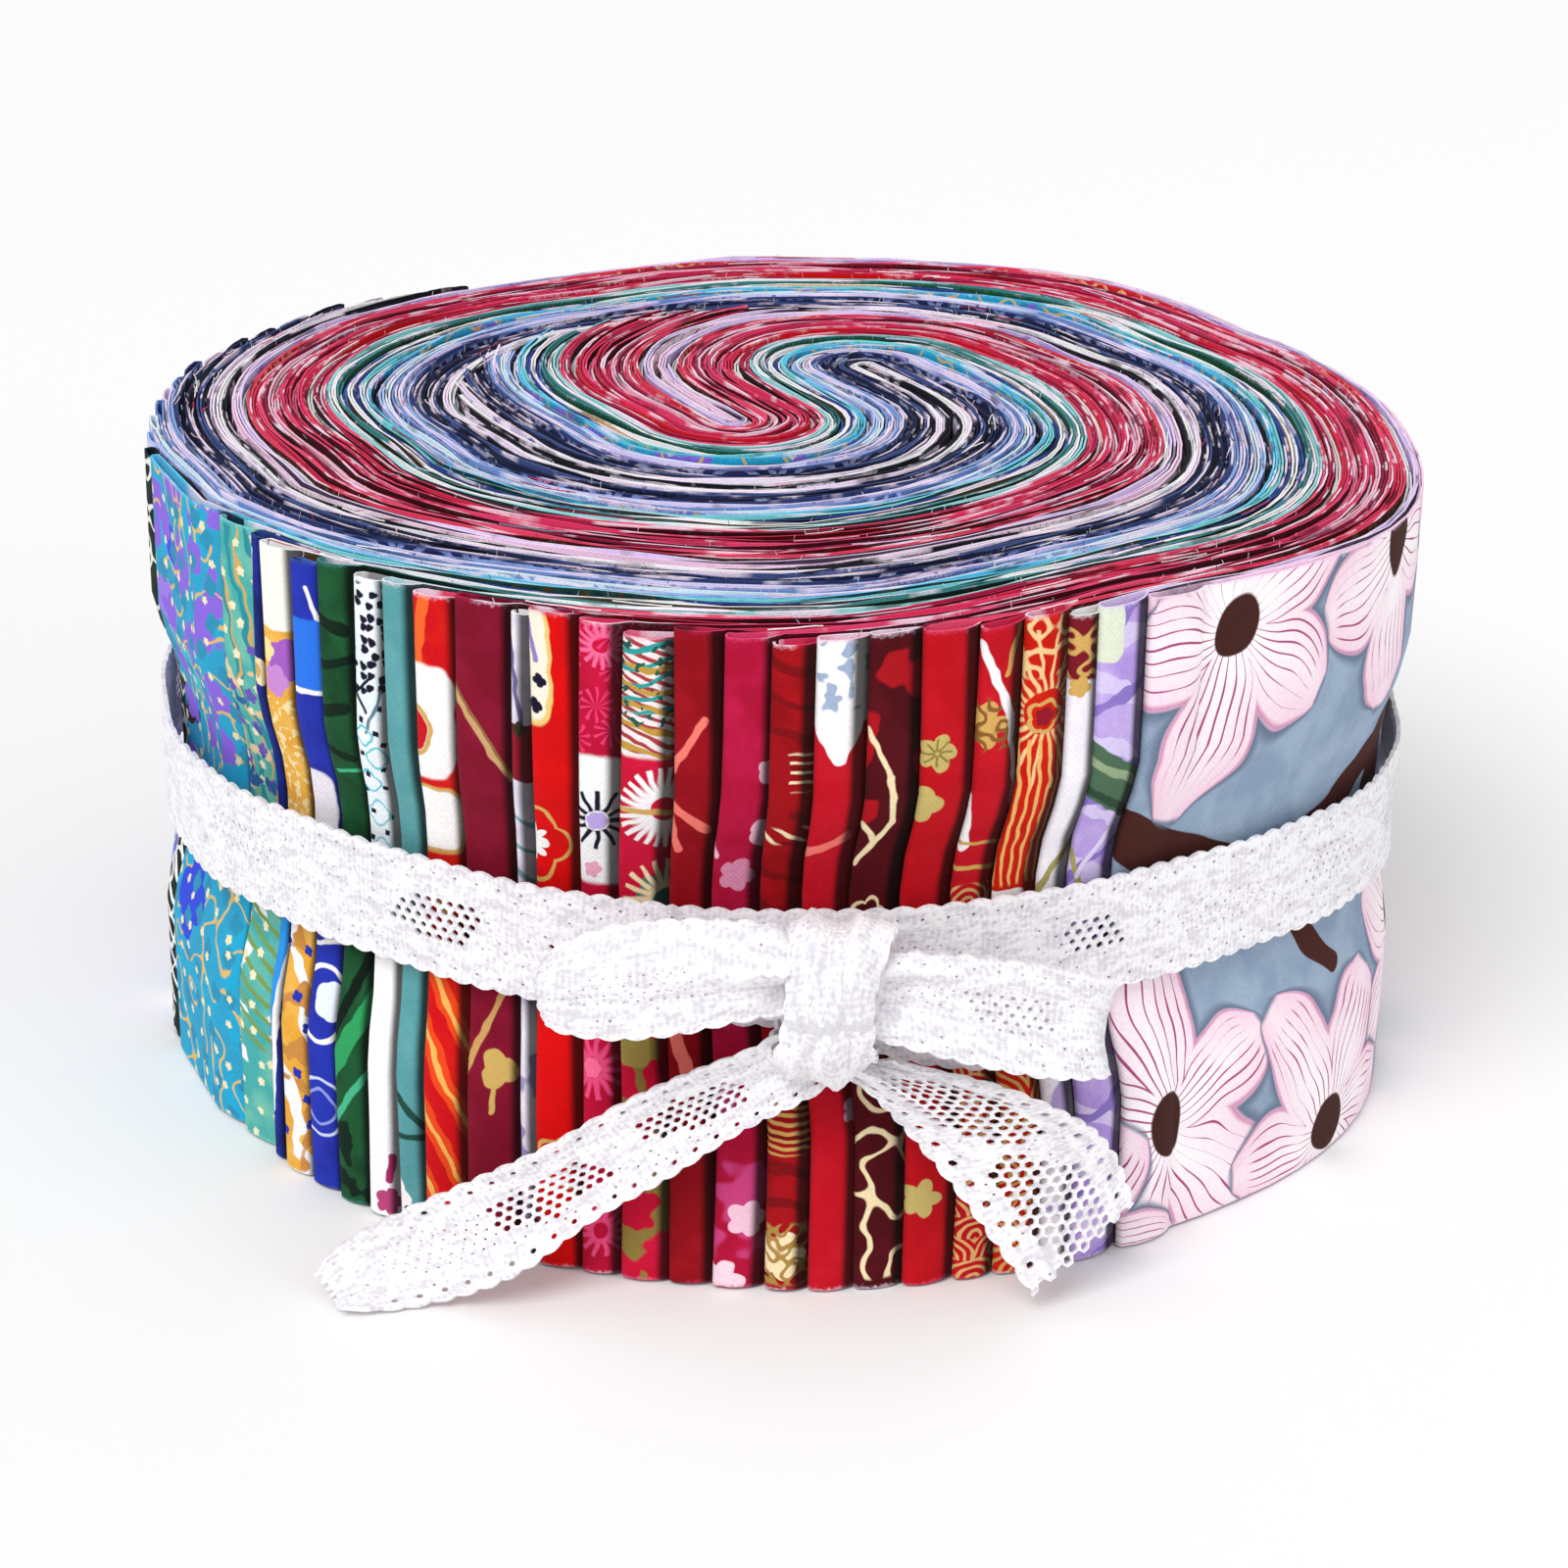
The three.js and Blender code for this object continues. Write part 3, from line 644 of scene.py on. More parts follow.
# %% Table of prints
prints = read_prints("""
8b9fb8 9db0c6 f0bcd4
b294de c6b0e8 cdbbe6; stripes d6c8f0 62 5.2 0.3 0.6; stripes 8d76c4 118 7 0.14 0.5;
  block dfe6d2 -1 58.5 2.6 64; stroke 4c6c52 -1 49.5 6 45.2 4.4;
  stroke 93a884 -1 50.2 6 46.4 0.8; stroke 2e4a38 -1 47.6 6 43.4 0.7;
  stroke aaa05e 0.2 40.5 2.6 34.5 0.7; stroke e2d7f6 4.2 42 1.2 38 0.6
f6f3f7 ece6f2 f7eef4; block 7a1424 -1 57.4 5 64.5; scrolls gold 2 0.14 4 57.6 63;
  bloom gold 1.2 56.8 1 5 0.3; stroke aaa05e 3.4 41.5 -0.4 36 0.8; blotches b7a3d6 5 0.4 2 0 26;
  blotches a4432e 3.4 0.34 7 14 24
c41408 cc2009 cb3a58; scrolls f0c890 2.6 0.14 3 58 63.5; rays f0c890 2.4 55 2 7.5 22 0.3;
  outline gold 2.2 54.6 1.5 5 0.2 0.4; bloom 8e1226 2.2 54.6 0.9 5 0.2;
  stripes eab56a 4 0.95 0.34 0.2 38 52.6; block white -1 34.4 4 37.6; fans gold 7 0.8 3 0 34;
  stroke white 5 33.5 -1 26 1
b80d1e c81424 c42a4e; bloom gold 0.8 54.5 2.3 5 0.4; scrolls 8a5a2a 1.5 0.14 5 52 57;
  stroke gold 3.8 63.5 2.8 59 0.6; stroke white 0.4 62 3.2 55 0.8, 3.2 55 4.6 46.5 0.6,
  -0.4 47.5 0.7 42.5 1.2; stroke gold -1 43 5 42.4 0.4, -1 40.4 5 40 0.5;
  fans e0b070 4.6 0.75 2 0 38.5
b80a18 c00f1e d2486a; bloom c3b06a 1.6 52.4 1.9 5 0.35, 0.7 47.6 1.8 4 0.3;
  rays 8d7a3a 1.6 52.4 0.2 1.4 8 0.2; bloom b99a58 2 32 2.4 5 0.3; bloom c3b06a 1.6 9 2 5 0.35
4a0610 570a16 86163a; blotches a80f1a 4 0.42 3 46 62; stroke cream 0.3 55 2.4 50.4 0.45,
  2.4 50.4 2.9 46 0.55, 2.9 46 0.4 41.6 0.55, 0.2 46 1.8 44.2 0.5, 1.8 44.2 0.6 42 0.5;
  outline cream 2.2 36.4 1.7 5 0.3 0.4; scrolls cream 4.2 0.17 6 1 34
bc0a1e c41428 e7a7ba; block white -2 55.5 7 66; stroke white 0.2 56.4 2.4 52.4 1.2,
  4.4 56.4 2.4 52.4 1.2, 2.3 57.5 2.4 54.4 2.6; blotches 9fb0cc 1.6 0.42 5 57 63.5;
  stroke salmon -0.6 42.4 3.8 44.6 0.9; bloom pink 4.6 18 1.4 5 0.3
a30a14 8c0710 cc3058; stripes 7c0810 74 3.4 0.28 0.8; stripes cream 88 0.9 0.3 0.2 49.5 53;
  block 9c0a14 -1 43 2.2 54; stripes cream 60 1.3 0.3 0.2 44 45.6;
  stripes gold 84 0.75 0.45 0.3 14 19.5; bloom cream 1.6 3.6 2.7 5 0.35;
  scrolls a98544 1.4 0.14 3 0.5 7
ab0a34 ba1444 cc3d68; bloom pink 4.6 51 1.3 5 0.2, 4.9 44.8 1.8 5 0.2;
  bloom dc8fb0 2.7 40.2 1.7 5 0.25; stroke pink -0.2 43.5 0.6 42 0.6;
  blotches c63f7c 4.4 0.46 4 0 27; bloom f0c3d8 3.2 7.2 2 5 0.3; bloom f5d6e4 1 0.6 2.3 5 0.3
8c0614 9a0a1a b82a50; stroke salmon 0.2 50.6 2.9 55.6 0.7, 0.2 47.2 3.5 44.8 0.85,
  0 46 1.1 42.4 0.8, 1.2 24 2.2 21 1.3, 3.6 35.4 2.4 33 0.8
c40c34 d0143c d86a8c; block ece4e4 -1 51.6 6 64; stripes a83a3c 66 0.9 0.42 0.5 52 63.5;
  stripes 2f9c9a 104 1.6 0.3 0.9 56 63.5; stripes c0953e 78 2.1 0.26 0.9 51.6 61;
  blotches 1f5a50 0.9 0.36 3 54 63.5; rays white 4.4 46.6 1.2 4.2 26 0.4;
  stroke gold -1 46.6 6 46.2 0.6; bloom 3f7a6a 5.2 37 3 8 0.15;
  rays cream 5.2 37 1.2 4.2 20 0.4; blotches 8d7a3c 3 0.46 9 0 25; block a5924c 0 21 3.4 25
c60e3c b50b33 cf3560; asters e63a72 3.4 1.6 10 0.5 3 50 63.5;
  rays f06a98 2.6 61.6 0.8 2.2 16 0.3; block f4f5f6 -1 38 6 51.2;
  rays ink 2.2 44.8 1.1 3.3 12 0.38; bloom bfa8e6 2.2 44.8 1 6 0.15;
  bloom e8a8c0 1.8 39.4 0.9 5 0.3; rays f04f86 1.4 20.4 0.9 2.8 14 0.4;
  bloom ff6f9c 1.4 20.4 0.9 6 0.1; rays f04f86 2.2 4.6 0.8 2.8 14 0.4
da0508 cc0608 bd2444; block e6c878 -2 53.4 2.5 64; block f4ead8 -2 53.9 2.1 64;
  bloom ink 1.3 57.4 0.6 4 0.3, 0.9 55.2 0.75 4 0.3; stroke 8d7ec0 0.4 62.5 1 59.2 0.5;
  outline gold 0 41.4 3.9 5 0.22 0.42; bloom white 0 41.4 2 9 0.4;
  outline gold 3 11 2.6 5 0.22 0.4
efeaf5 d8d0e6 f2e6ee; stroke 6f6796 0.2 61.5 1.6 52 0.5; block 8e1226 -1 47.6 4 53;
  bloom 3a3320 1.2 52.6 0.8 4 0.3; stripes 7fb0b4 70 2.6 0.2 0.6 33 44;
  blotches 9d8fc0 3.4 0.44 5 0 30
7a0a26 86102e a01c44; stroke c8a070 -0.4 56.4 5.6 47.4 0.8;
  stroke 8a6236 -0.4 56.9 5.6 47.9 0.25; stroke c79a5e 3.4 36 5 33.4 0.9, 5 27.5 -0.4 16.5 0.55,
  3.2 24 0.4 19 0.35; bloom caa85e 3.6 18.6 1.9 3 0.3; stroke caa85e 3.4 17.5 2.8 14.6 0.5
cc0a14 d81c12 d84a6c; stroke f0662a 0.6 56.5 2 64.5 1.1; block white -2 46 4.4 57;
  bloom c8101c -0.3 50.6 2.1 6 0.05; outline gold -0.3 50.6 2.4 6 0.05 0.5;
  block gold -1.2 37.9 4.8 45.2; block fbf7f6 -1 38.4 4.5 44.8; stroke gold 1.2 36.4 3 31 0.45;
  stripes e8481a 28 3.6 0.5 0.4 0 27; stripes f0b45a 28 3.6 0.14 0.4 0 27
569a9f 62a4a8 8cc4c6; stroke 1d4a3e -0.4 14.5 3.4 10.8 0.8, -0.2 9.2 3.6 9.9 0.6;
  bloom white -0.6 2.6 2.4 5 0.2; bloom 4a0d1c 2 1.2 1.3 5 0.2
f2f7fa e4f0f6 f4f8fa; blooms ink 1.15 0.44 3 0.25 3 52.5 63.2, 2.3 0.34 4 0.3 5 33 52;
  stroke ink 0.4 52.4 2.2 54.2 0.35, 1.8 50.8 0.6 52.6 0.3; stroke 5f7f8c 3.4 53 1.8 49 0.3;
  outline 6fc4d4 1.4 48.6 1 4 0.2 0.26, 2.6 46.4 1.1 4 0.2 0.26, 1.4 43.6 1.2 4 0.2 0.26;
  outline 8fd0dc 2 40.2 1.3 4 0.2 0.26, 2 36.6 1.1 4 0.2 0.26; block fdfafd -2 0 5 33;
  stroke b12b6c 3.2 6.5 3 4 0.8; bloom b9467c 2.8 1.6 1.5 5 0.35
1c5530 134024 3a7a7c; stroke 0a2416 0.2 58.4 3.4 57.6 1.2, 1 54.2 4.8 55.2 0.9,
  -0.4 49.4 3.2 50.4 1.1; stroke 45b487 1.4 43.6 4.6 44.2 0.4;
  stroke 0a2416 0.4 46 3.6 45.2 0.8; stroke 45b487 1.8 34.4 4.6 35.2 0.35;
  stroke 2f9c5c -0.5 12 4.8 21.5 1.7; stroke 071a10 -0.5 15.5 4 25 1.1;
  stroke 45b487 0.2 8 4.6 14.6 0.7; blotches 0a2416 2.6 0.42 4 0 9
2534ae 1f2c98 4a68b8; block 2b74e6 -1 50.6 6 57.8; stroke white -1 50.4 6 51 0.45,
  5.4 57 3.6 58 0.5, 3.6 58 2.6 61 0.5; block efe8f2 -2 33 3.8 42; block e9e6f4 -1 25.2 5 30;
  outline white 2.2 19 3.4 4 0.06 0.5; bloom e8eefc 3.2 19.4 1.9 5 0.1;
  outline cfd6f4 2 8.6 3 4 0.06 0.35; outline 8f9be0 2 8.6 1.8 4 0.06 0.3;
  stroke white -1 24 5 25.4 0.4
e6a63a f0bc5c dfe6ea; block f8f4ea -1 55.6 6 64; bloom a45fc0 3.2 52.8 2.1 5 0.2;
  bloom c98ad2 2.2 50.6 1.5 5 0.2; bloom f7e29a 1 53.4 1.2 5 0.2;
  blotches f7e0a4 0.9 0.42 6 32 49; stripes white 20 6 0.34 0.8 0 26;
  blotches c98a42 2.6 0.42 3 0 26; blooms 2534ae 3.4 0.6 4 0.3 2 2 24
18298f 0f1c60 2a3f86; stroke white 0.6 62 -0.2 56 0.8; bloom cream 1.4 50.4 1.3 6 0.1;
  bloom gold 1.2 50.4 0.6 4 0.1; block 2a93e6 -1 13 2.2 27; stroke white 2.6 22 0.4 5 0.9;
  stroke gold 0.2 36 0.4 48 0.4
46aaa8 74c0ac 6fc0c4; stripes 2c8f9a 14 2.6 0.3 0.9 26 63.5;
  stripes gold 10 3.1 0.12 0.9 26 63.5; blotches e2c79a 2.4 0.38 5 36 50;
  blotches white 3.2 0.36 5 8 26; stripes 7a9a4c 64 1.6 0.3 0.4 10 27;
  blooms 6a58b4 3.6 0.8 5 0.3 6 30 52; blooms f0e6c0 2.8 0.5 5 0.3 2;
  blotches 2f5f9c 1.8 0.36 8 30 48
1fa8d2 2f9cc4 58b4d4; blotches 8a66dc 4.2 0.42 3 40 63.5; scrolls e0b868 4.2 0.11 5;
  bloom 3d4fe0 6 57 2 6 0.1; bloom 9c7ae4 3.4 50 2.8 5 0.3; bloom 33c4cc 7 44.5 2.6 6 0.2;
  bloom 3a0d14 2.4 38.4 2.6 3 0.4; bloom 3049d8 6.4 19 4.6 4 0.35, 9.4 28 3.4 4 0.3;
  outline e0b868 7 44.5 3.1 6 0.2 0.3; blooms 8a66dc 6.4 2 5 0.3 5 30 62;
  blooms 2f8fb4 4.4 1.1 4 0.3 9; blooms f0e2b4 3.4 0.5 5 0.3 7
101d18 182f24 14222c; scrolls e6e8dc 3.4 0.16 2; stripes white 52 1.9 0.3 0.6 4 24;
  blotches 8d9a58 4.4 0.36 5 20 40
5b63b4 7a7fd0 9db4dc; blooms c5c9f4 9 3.4 5 0.3 1; scrolls gold 6 0.12 2
6d86b6 8fa6cc c3d6ea; fans dfe8f6 7 1.2 1; blooms white 14 3 6 0.2 4
3f4f86 55659c 6a86bc; asters aeb9ea 9 3.6 12 0.45 2
8d7ac0 a595d2 c6bfe4; blooms efe6fb 10 3.8 5 0.35 6; scrolls 5c4a92 6 0.14 3
27336e 1d2756 7f9ccc; blooms 7f93de 8 2.8 5 0.3 8; scrolls gold 5 0.12 9
161c42 222a5c 2c3a6c; fans 8f9bd0 8 1.4 5
1b2350 141a3c 101638; asters gold 10 3.4 10 0.3 7
10142e 1e2650 1a2146; scrolls c9cfe8 5 0.14 4; blooms c9cfe8 12 2.6 5 0.3 3
26386a 1c2a52 0c1026; stripes 9fb2dc 45 6 0.18 0.8
0e1226 1a2040 3c4c80; blooms 5a6cc0 9 3 6 0.25 5
1a2144 2b3566 0e1226; blotches 6d7cb4 6 0.4 6; scrolls white 7 0.1 8
c3b2de e0d6ee d9cbe6; blooms white 8 3.2 5 0.3 9; scrolls 7c68a8 5 0.14 2
f1eef4 dcd4e8 fbf7fa; blotches a897c6 5 0.42 4; blooms pink 11 3.4 5 0.3 2
15151d 2a2a38 181622; blooms d9d3e6 9 2.6 5 0.3 7
""")
print(len(prints), "prints")

# %% [markdown]
# The outermost print shows large, round the whole right side and back: open blossoms with
# veined petals on a grey-blue ground, with brown branches between them. Cloth like this is
# printed from a screen, so the same drawing comes again with each repeat. Blossoms are drawn
# petal by petal: an angle round the heart picks the petal, and the petal's own coordinate
# across gives its rim and the veins that run from heart to tip.

# %% Open blossoms with veined petals
def laid_over(colour, mask, hex_colour):
    return add("Mix RGBA", mask, colour, linear(hex_colour))


blossom_repeat = 78.0
# twigs: along and height of both ends, width; blossoms: along, height, size, petals, turn
twigs = [
    (-4, 46, 22, 34, 4.6), (22, 34, 50, 45, 4.4), (50, 45, 82, 34, 4.6), (22, 34, 33, 22, 2.6),
    (60, 42, 74, 24, 2.8), (43, 36, 46, 42, 6.4)]
open_blossoms = [
    (38, 64, 15.5, 5, 0.9), (7, 14, 17, 5, 0.2), (55, 17, 16, 5, 2.0), (13, 61, 16, 5, 1.25),
    (32, 5, 17, 6, 0.5), (63, 62, 17, 5, 1.6), (76, 2, 12, 5, 0.7)]


def blossom(cloth, ground, along, height, size, petals, turned):
    """Lays one blossom over a ground, again in each repeat of the cloth."""
    moved = add("SeparateXYZ", placed(cloth, along, height, 1.0))
    wrapped = add("Math WRAP", moved, blossom_repeat / 2, -blossom_repeat / 2)
    local = add("CombineXYZ", wrapped, moved.node.outputs[1])
    local = add("VectorMath SCALE", local, 1 / size)
    x = add("SeparateXYZ", local)
    angle = add("Math ARCTAN2", x.node.outputs[1], x)
    angle = add("Math ADD", angle, turned)
    slice_angle = 2 * math.pi / petals
    inside = add("Math FLOORED_MODULO", angle, slice_angle)
    inside = add("Math SUBTRACT", inside, slice_angle / 2)
    uneven = add("Math SINE", add("Math MULTIPLY", angle, 2.0))
    uneven = add("Math MULTIPLY_ADD", uneven, 0.12, 1.0)
    distance = add("VectorMath LENGTH", local)
    distance = both(distance, uneven)
    length = both(distance, add("Math COSINE", inside))
    side = both(distance, add("Math SINE", inside))
    swell = add("Math MULTIPLY", add("Math POWER", length, 1.15), math.pi * 0.94)
    swell = add("Math MAXIMUM", add("Math SINE", swell), 0.0)
    half_width = add("Math MULTIPLY_ADD", add("Math POWER", swell, 0.7), 1.7 / petals, 0.004)
    share = add("Math DIVIDE", side, half_width)
    aside = add("Math ABSOLUTE", share)
    in_length = soft_below(length, 1.0, 0.02)
    shadow = both(soft_below(aside, 1.16, 0.14), soft_below(length, 1.03, 0.03))
    petal = both(soft_below(aside, 1.0, 0.04), in_length)
    rim = both(petal, soft_below(add("Math SUBTRACT", 1.0, aside), 0.07, 0.04))
    vein = add("Math PINGPONG", add("Math MULTIPLY", share, 4.1), 0.5)
    patchy = add("TexNoise 2D", cloth, 0.16, 1.0)
    thick = add("MapRange", patchy, 0.35, 0.65, 0.1, 0.012)
    vein = add("Math LESS_THAN", vein, thick)
    vein = both(both(vein, petal), soft_below(length, 0.84, 0.05))
    blush = add("MapRange", add("Math MULTIPLY_ADD", aside, 0.6, length), 0.3, 1.5, 0.0, 1.0)
    petal_colour = add("Mix RGBA", blush, linear("#fffafd"), linear("#f5d0e2"))
    colour = laid_over(ground, shadow, "#67788f")
    colour = add("Mix RGBA", petal, colour, petal_colour)
    colour = laid_over(colour, vein, "#ac4c80")
    colour = laid_over(colour, rim, "#d799bb")
    heart = soft_below(distance, 0.17, 0.008)
    return laid_over(colour, heart, "#42201b")


def blossom_cloth(cloth, ground):
    wander = add("TexNoise 2D", cloth, 0.09, 1.0, out=1)
    drawn = add("VectorMath MULTIPLY_ADD", wander, (4.0, 4.0, 0), cloth)
    around = add("SeparateXYZ", drawn)
    repeated = add("Math WRAP", around, blossom_repeat, 0.0)
    repeated = add("CombineXYZ", repeated, around.node.outputs[1])
    colour = ground
    for numbers in twigs:
        colour = laid_over(colour, stroke(repeated, *numbers), "#47211c")
    for numbers in open_blossoms:
        colour = blossom(drawn, colour, *numbers)
    return colour


# %% Printed cotton
thread_pitch = 0.5
# at this turn the winding runs straight, so the band of the strip that lies there is longer
straight_turn = 720


def colour_ramp(place, stops):
    """A ramp through stops, each a position and a colour. A new ramp has two stops already."""
    ramp = add("ValToRGB", place)
    elements = ramp.node.color_ramp.elements
    for i, (position, rgb) in enumerate(stops):
        stop = elements[i] if i < 2 else elements.new(position)
        stop.position, stop.color = position, [*rgb[:3], 1]
    return ramp


def printed_cotton(strip):
    ground, shade, cut_edge, marks = prints[strip]
    matt = 0.86
    material = new_material(f"printed_quilting_cotton_{strip + 1:02d}", {
        "Roughness": matt, "Specular IOR Level": 0.12,
        "Sheen Weight": 0.02, "Sheen Roughness": 0.5})
    cloth = add("UVMap cloth_mm")

    wander = add("TexNoise 2D", cloth, 0.22, 2.0)
    wander = add("MapRange", wander, 0.35, 0.65, 0.0, 1.0)
    colour = add("Mix RGBA", wander, linear(ground), linear(shade))
    if strip == 0:
        colour = blossom_cloth(cloth, colour)
    gold_ink = None
    sway = add("TexNoise 2D", cloth, 0.45, 1.0, out=1)
    sway = add("VectorMath ADD", sway, (-0.5, -0.5, 0))
    drawn = add("VectorMath MULTIPLY_ADD", sway, (0.6, 0.6, 0), cloth)
    for kind, mark_colour, numbers in marks:
        mask = kind(drawn, *numbers)
        colour = laid_over(colour, mask, mark_colour)
        if mark_colour == named_colours["gold"]:
            gold_ink = mask if gold_ink is None else add("Math MAXIMUM", gold_ink, mask)
    if gold_ink is not None:
        wire(add("MapRange", gold_ink, 0.0, 1.0, matt, 0.45), "Roughness")

    # cut edges: the threads' ends show in streaks, and the print frays just before them
    place = add("SeparateXYZ", cloth)
    height = place.node.outputs[1]
    shifted = add("Math ADD", place, 37.7 * strip)
    streaks = add("TexNoise 1D", shifted, 0.06, 4.0, 0.6)
    dyed = [min(0.9, 1.25 * c) for c in linear(cut_edge)[:3]]
    pale = [0.15 * c + 0.82 * p for c, p in zip(dyed, (1.0, 0.84, 0.98))]
    edge = colour_ramp(streaks, [
        (0.33, [0.35 * c for c in dyed]), (0.62, pale), (0.4, dyed), (0.545, dyed)])
    from_middle = away_from(height, strip_width / 2)
    fibres = add("TexNoise 2D", cloth, 2.4, 3.0)
    frayed = add("Math MULTIPLY_ADD", fibres, 0.9, from_middle)
    frayed = add("MapRange", frayed, 31.85, 32.25, 0.0, 0.6)
    is_cut = add("Math GREATER_THAN", from_middle, 31.9)
    is_cut = add("Math MAXIMUM", is_cut, frayed)
    colour = add("Mix RGBA", is_cut, colour, edge)

    # plain weave, drawn with threads 0.5 mm apart
    waves = [both(axis, 2 * math.pi / thread_pitch) for axis in (place, height)]
    weave = both(*(add("Math SINE", wave) for wave in waves))
    slub = add("TexNoise 2D", cloth, 2.2, 2.0)
    weave = add("Math MULTIPLY_ADD", weave, 0.25, slub)
    tone = add("MapRange", weave, 0.1, 0.9, 0.93, 1.07)
    colour = add("VectorMath SCALE", colour, tone)
    if 0 < strip < 26:
        # painted shade: the print is darkened where the band goes under the next fold, in place of
        # the shadow that falls there
        band = shown_bands[strip - 1] * rim_mm_per_degree
        if fold_turns[strip - 1] < straight_turn < fold_turns[strip]:
            band += straight_run
        painted_crease_shade = add("MapRange SMOOTHSTEP", place, band - 1.3, band - 0.4, 1.0, 0.1)
        printed = add("Math LESS_THAN", height, 63.6)
        painted_crease_shade = add("Mix", printed, 1.0, painted_crease_shade)
        colour = add("VectorMath SCALE", colour, painted_crease_shade)
    wire(colour, "Base Color")
    wire(add("Bump", 0.35, 0.00012, 0.1, weave), "Normal")
    return material


# %% The strips in place
stack_lengths = []
for strip in range(strip_count):
    piece, length = strip_mesh(strip, printed_cotton(strip))
    stack_lengths.append(length)
    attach(piece, "root")
    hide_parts("strip_roll")
print("along both plies, in mm:", round(min(stack_lengths)), "to", round(max(stack_lengths)))

# %% [markdown]
# ## Frayed threads
#
# Cut cotton sheds threads. Some have slipped out and lie along the layers on top, and short
# fibres stand up from every cut edge. Hair particles could do this, but a few hundred threads
# need no hair system: each one is a thin three-sided tube along its own path, and all of them
# together are one mesh. A thread is 0.12 mm thick and a fibre 0.06 mm. The first of its UV
# coordinates picks its colour.

# %% Paths of the threads
thread_rng = np.random.default_rng(5)


def loose_thread():
    turn = 790 * thread_rng.random() ** 0.6
    reach = thread_rng.uniform(3, 15) / (5 + 0.16 * turn)
    turns = turn + np.degrees(np.linspace(0, reach, 7)) * thread_rng.choice([-1, 1])
    turns = np.clip(turns, 5, 788)
    limit = stack_left(turns.max()) - 0.8
    drift = thread_rng.uniform(-1, 1) * np.linspace(0, 1, 7) ** 2 * 0.7
    offset = thread_rng.uniform(0.8, max(limit, 1.0)) + drift + 0.04 * thread_rng.normal(0, 1, 7)
    height = strip_width + 0.3 + 0.06 * thread_rng.random(7)
    return settled(winding_point(turns, np.clip(offset, 0.4, max(limit, 0.9))), height), 0.06


def standing_fibre():
    turn = 785 * thread_rng.random() ** 0.6
    limit = stack_left(turn) - 0.3
    offset = thread_rng.uniform(0.2, max(limit, 0.5))
    foot = winding_point(np.array([turn]), np.array([offset]))
    foot = settled(foot, np.array([strip_width]))
    tip = thread_rng.normal(0, 0.14, 3) + [0, 0, thread_rng.uniform(0.25, 0.5)]
    return foot + np.array([[0, 0, -0.1], 0.5 * tip + thread_rng.normal(0, 0.06, 3), tip]), 0.03


paths = [loose_thread() for _ in range(170)] + [standing_fibre() for _ in range(700)]
print("threads and fibres:", len(paths))


# %% Threads as one mesh
def cotton_thread():
    material = new_material("frayed_cotton_thread", {
        "Roughness": 0.85, "Specular IOR Level": 0.2})
    strand = add("UVMap cloth_mm")
    shades = [(0.0, "#fbf7fa"), (0.42, "#f0c6d8"), (0.58, "#c8385c"), (0.7, "#a9c6e0"),
              (0.82, "#1d2550"), (0.9, "#c9bde6")]
    stops = [(position, linear(shade)) for position, shade in shades]
    pick = colour_ramp(add("SeparateXYZ", strand), stops)
    pick.node.color_ramp.interpolation = "CONSTANT"
    fuzz = add("TexNoise 2D", strand, 3.0, 2.0)
    tone = add("MapRange", fuzz, 0.3, 0.7, 0.8, 1.05)
    wire(add("VectorMath SCALE", pick, tone), "Base Color")
    wire(add("Bump", 0.4, 0.00003, None, fuzz), "Normal")
    return material


def threads_piece():
    points, faces, loop_uv = [], [], []
    for path, radius in paths:
        pick, first = thread_rng.random(), len(points)
        ahead = unit(np.gradient(path, axis=0))
        side = unit(np.cross(ahead, [0.31, 0.52, 0.8]))
        over = np.cross(ahead, side)
        for k in range(3):
            turn = 2 * math.pi * k / 3
            points.extend(path + radius * (math.cos(turn) * side + math.sin(turn) * over))
        count = len(path)
        for k in range(3):
            a, b = first + k * count, first + (k + 1) % 3 * count
            faces += [[a + i, b + i, b + i + 1, a + i + 1] for i in range(count - 1)]
            loop_uv += [(pick, v) for i in range(count - 1) for v in (i, i, i + 1, i + 1)]
        starts = [first, first + count, first + 2 * count]
        faces += [starts[::-1], [start + count - 1 for start in starts]]
        loop_uv += [(pick, 0)] * 6
    return made_piece("frayed_threads", points, faces, loop_uv, cotton_thread(), sharp=80)


threads = threads_piece()
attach(threads, "root")
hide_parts("strip_roll")
print("faces of the threads:", len(threads.data.polygons))

# %% [markdown]
# ## Lace
#
# The ribbon is a machine-made lace: fields of fine net between closely worked leaves, a row
# of eyelets along each border and a scalloped edge. Lace can be faked with a transparent
# pattern, but a hole in a mesh shows what lies behind it from every side and throws a real
# shadow. So the ribbon is a sheet of six-sided cells, 1.15 mm apart, and each cell has a hole
# whose size depends on where it lies in the pattern. Real net is a little finer, and it is
# drawn as coarse as it needs to be to show.

# %% Pattern of the lace
lace_width = 12.7
cell_pitch = 1.15
cell_radius = cell_pitch / math.sqrt(3)
lace_rows = 13
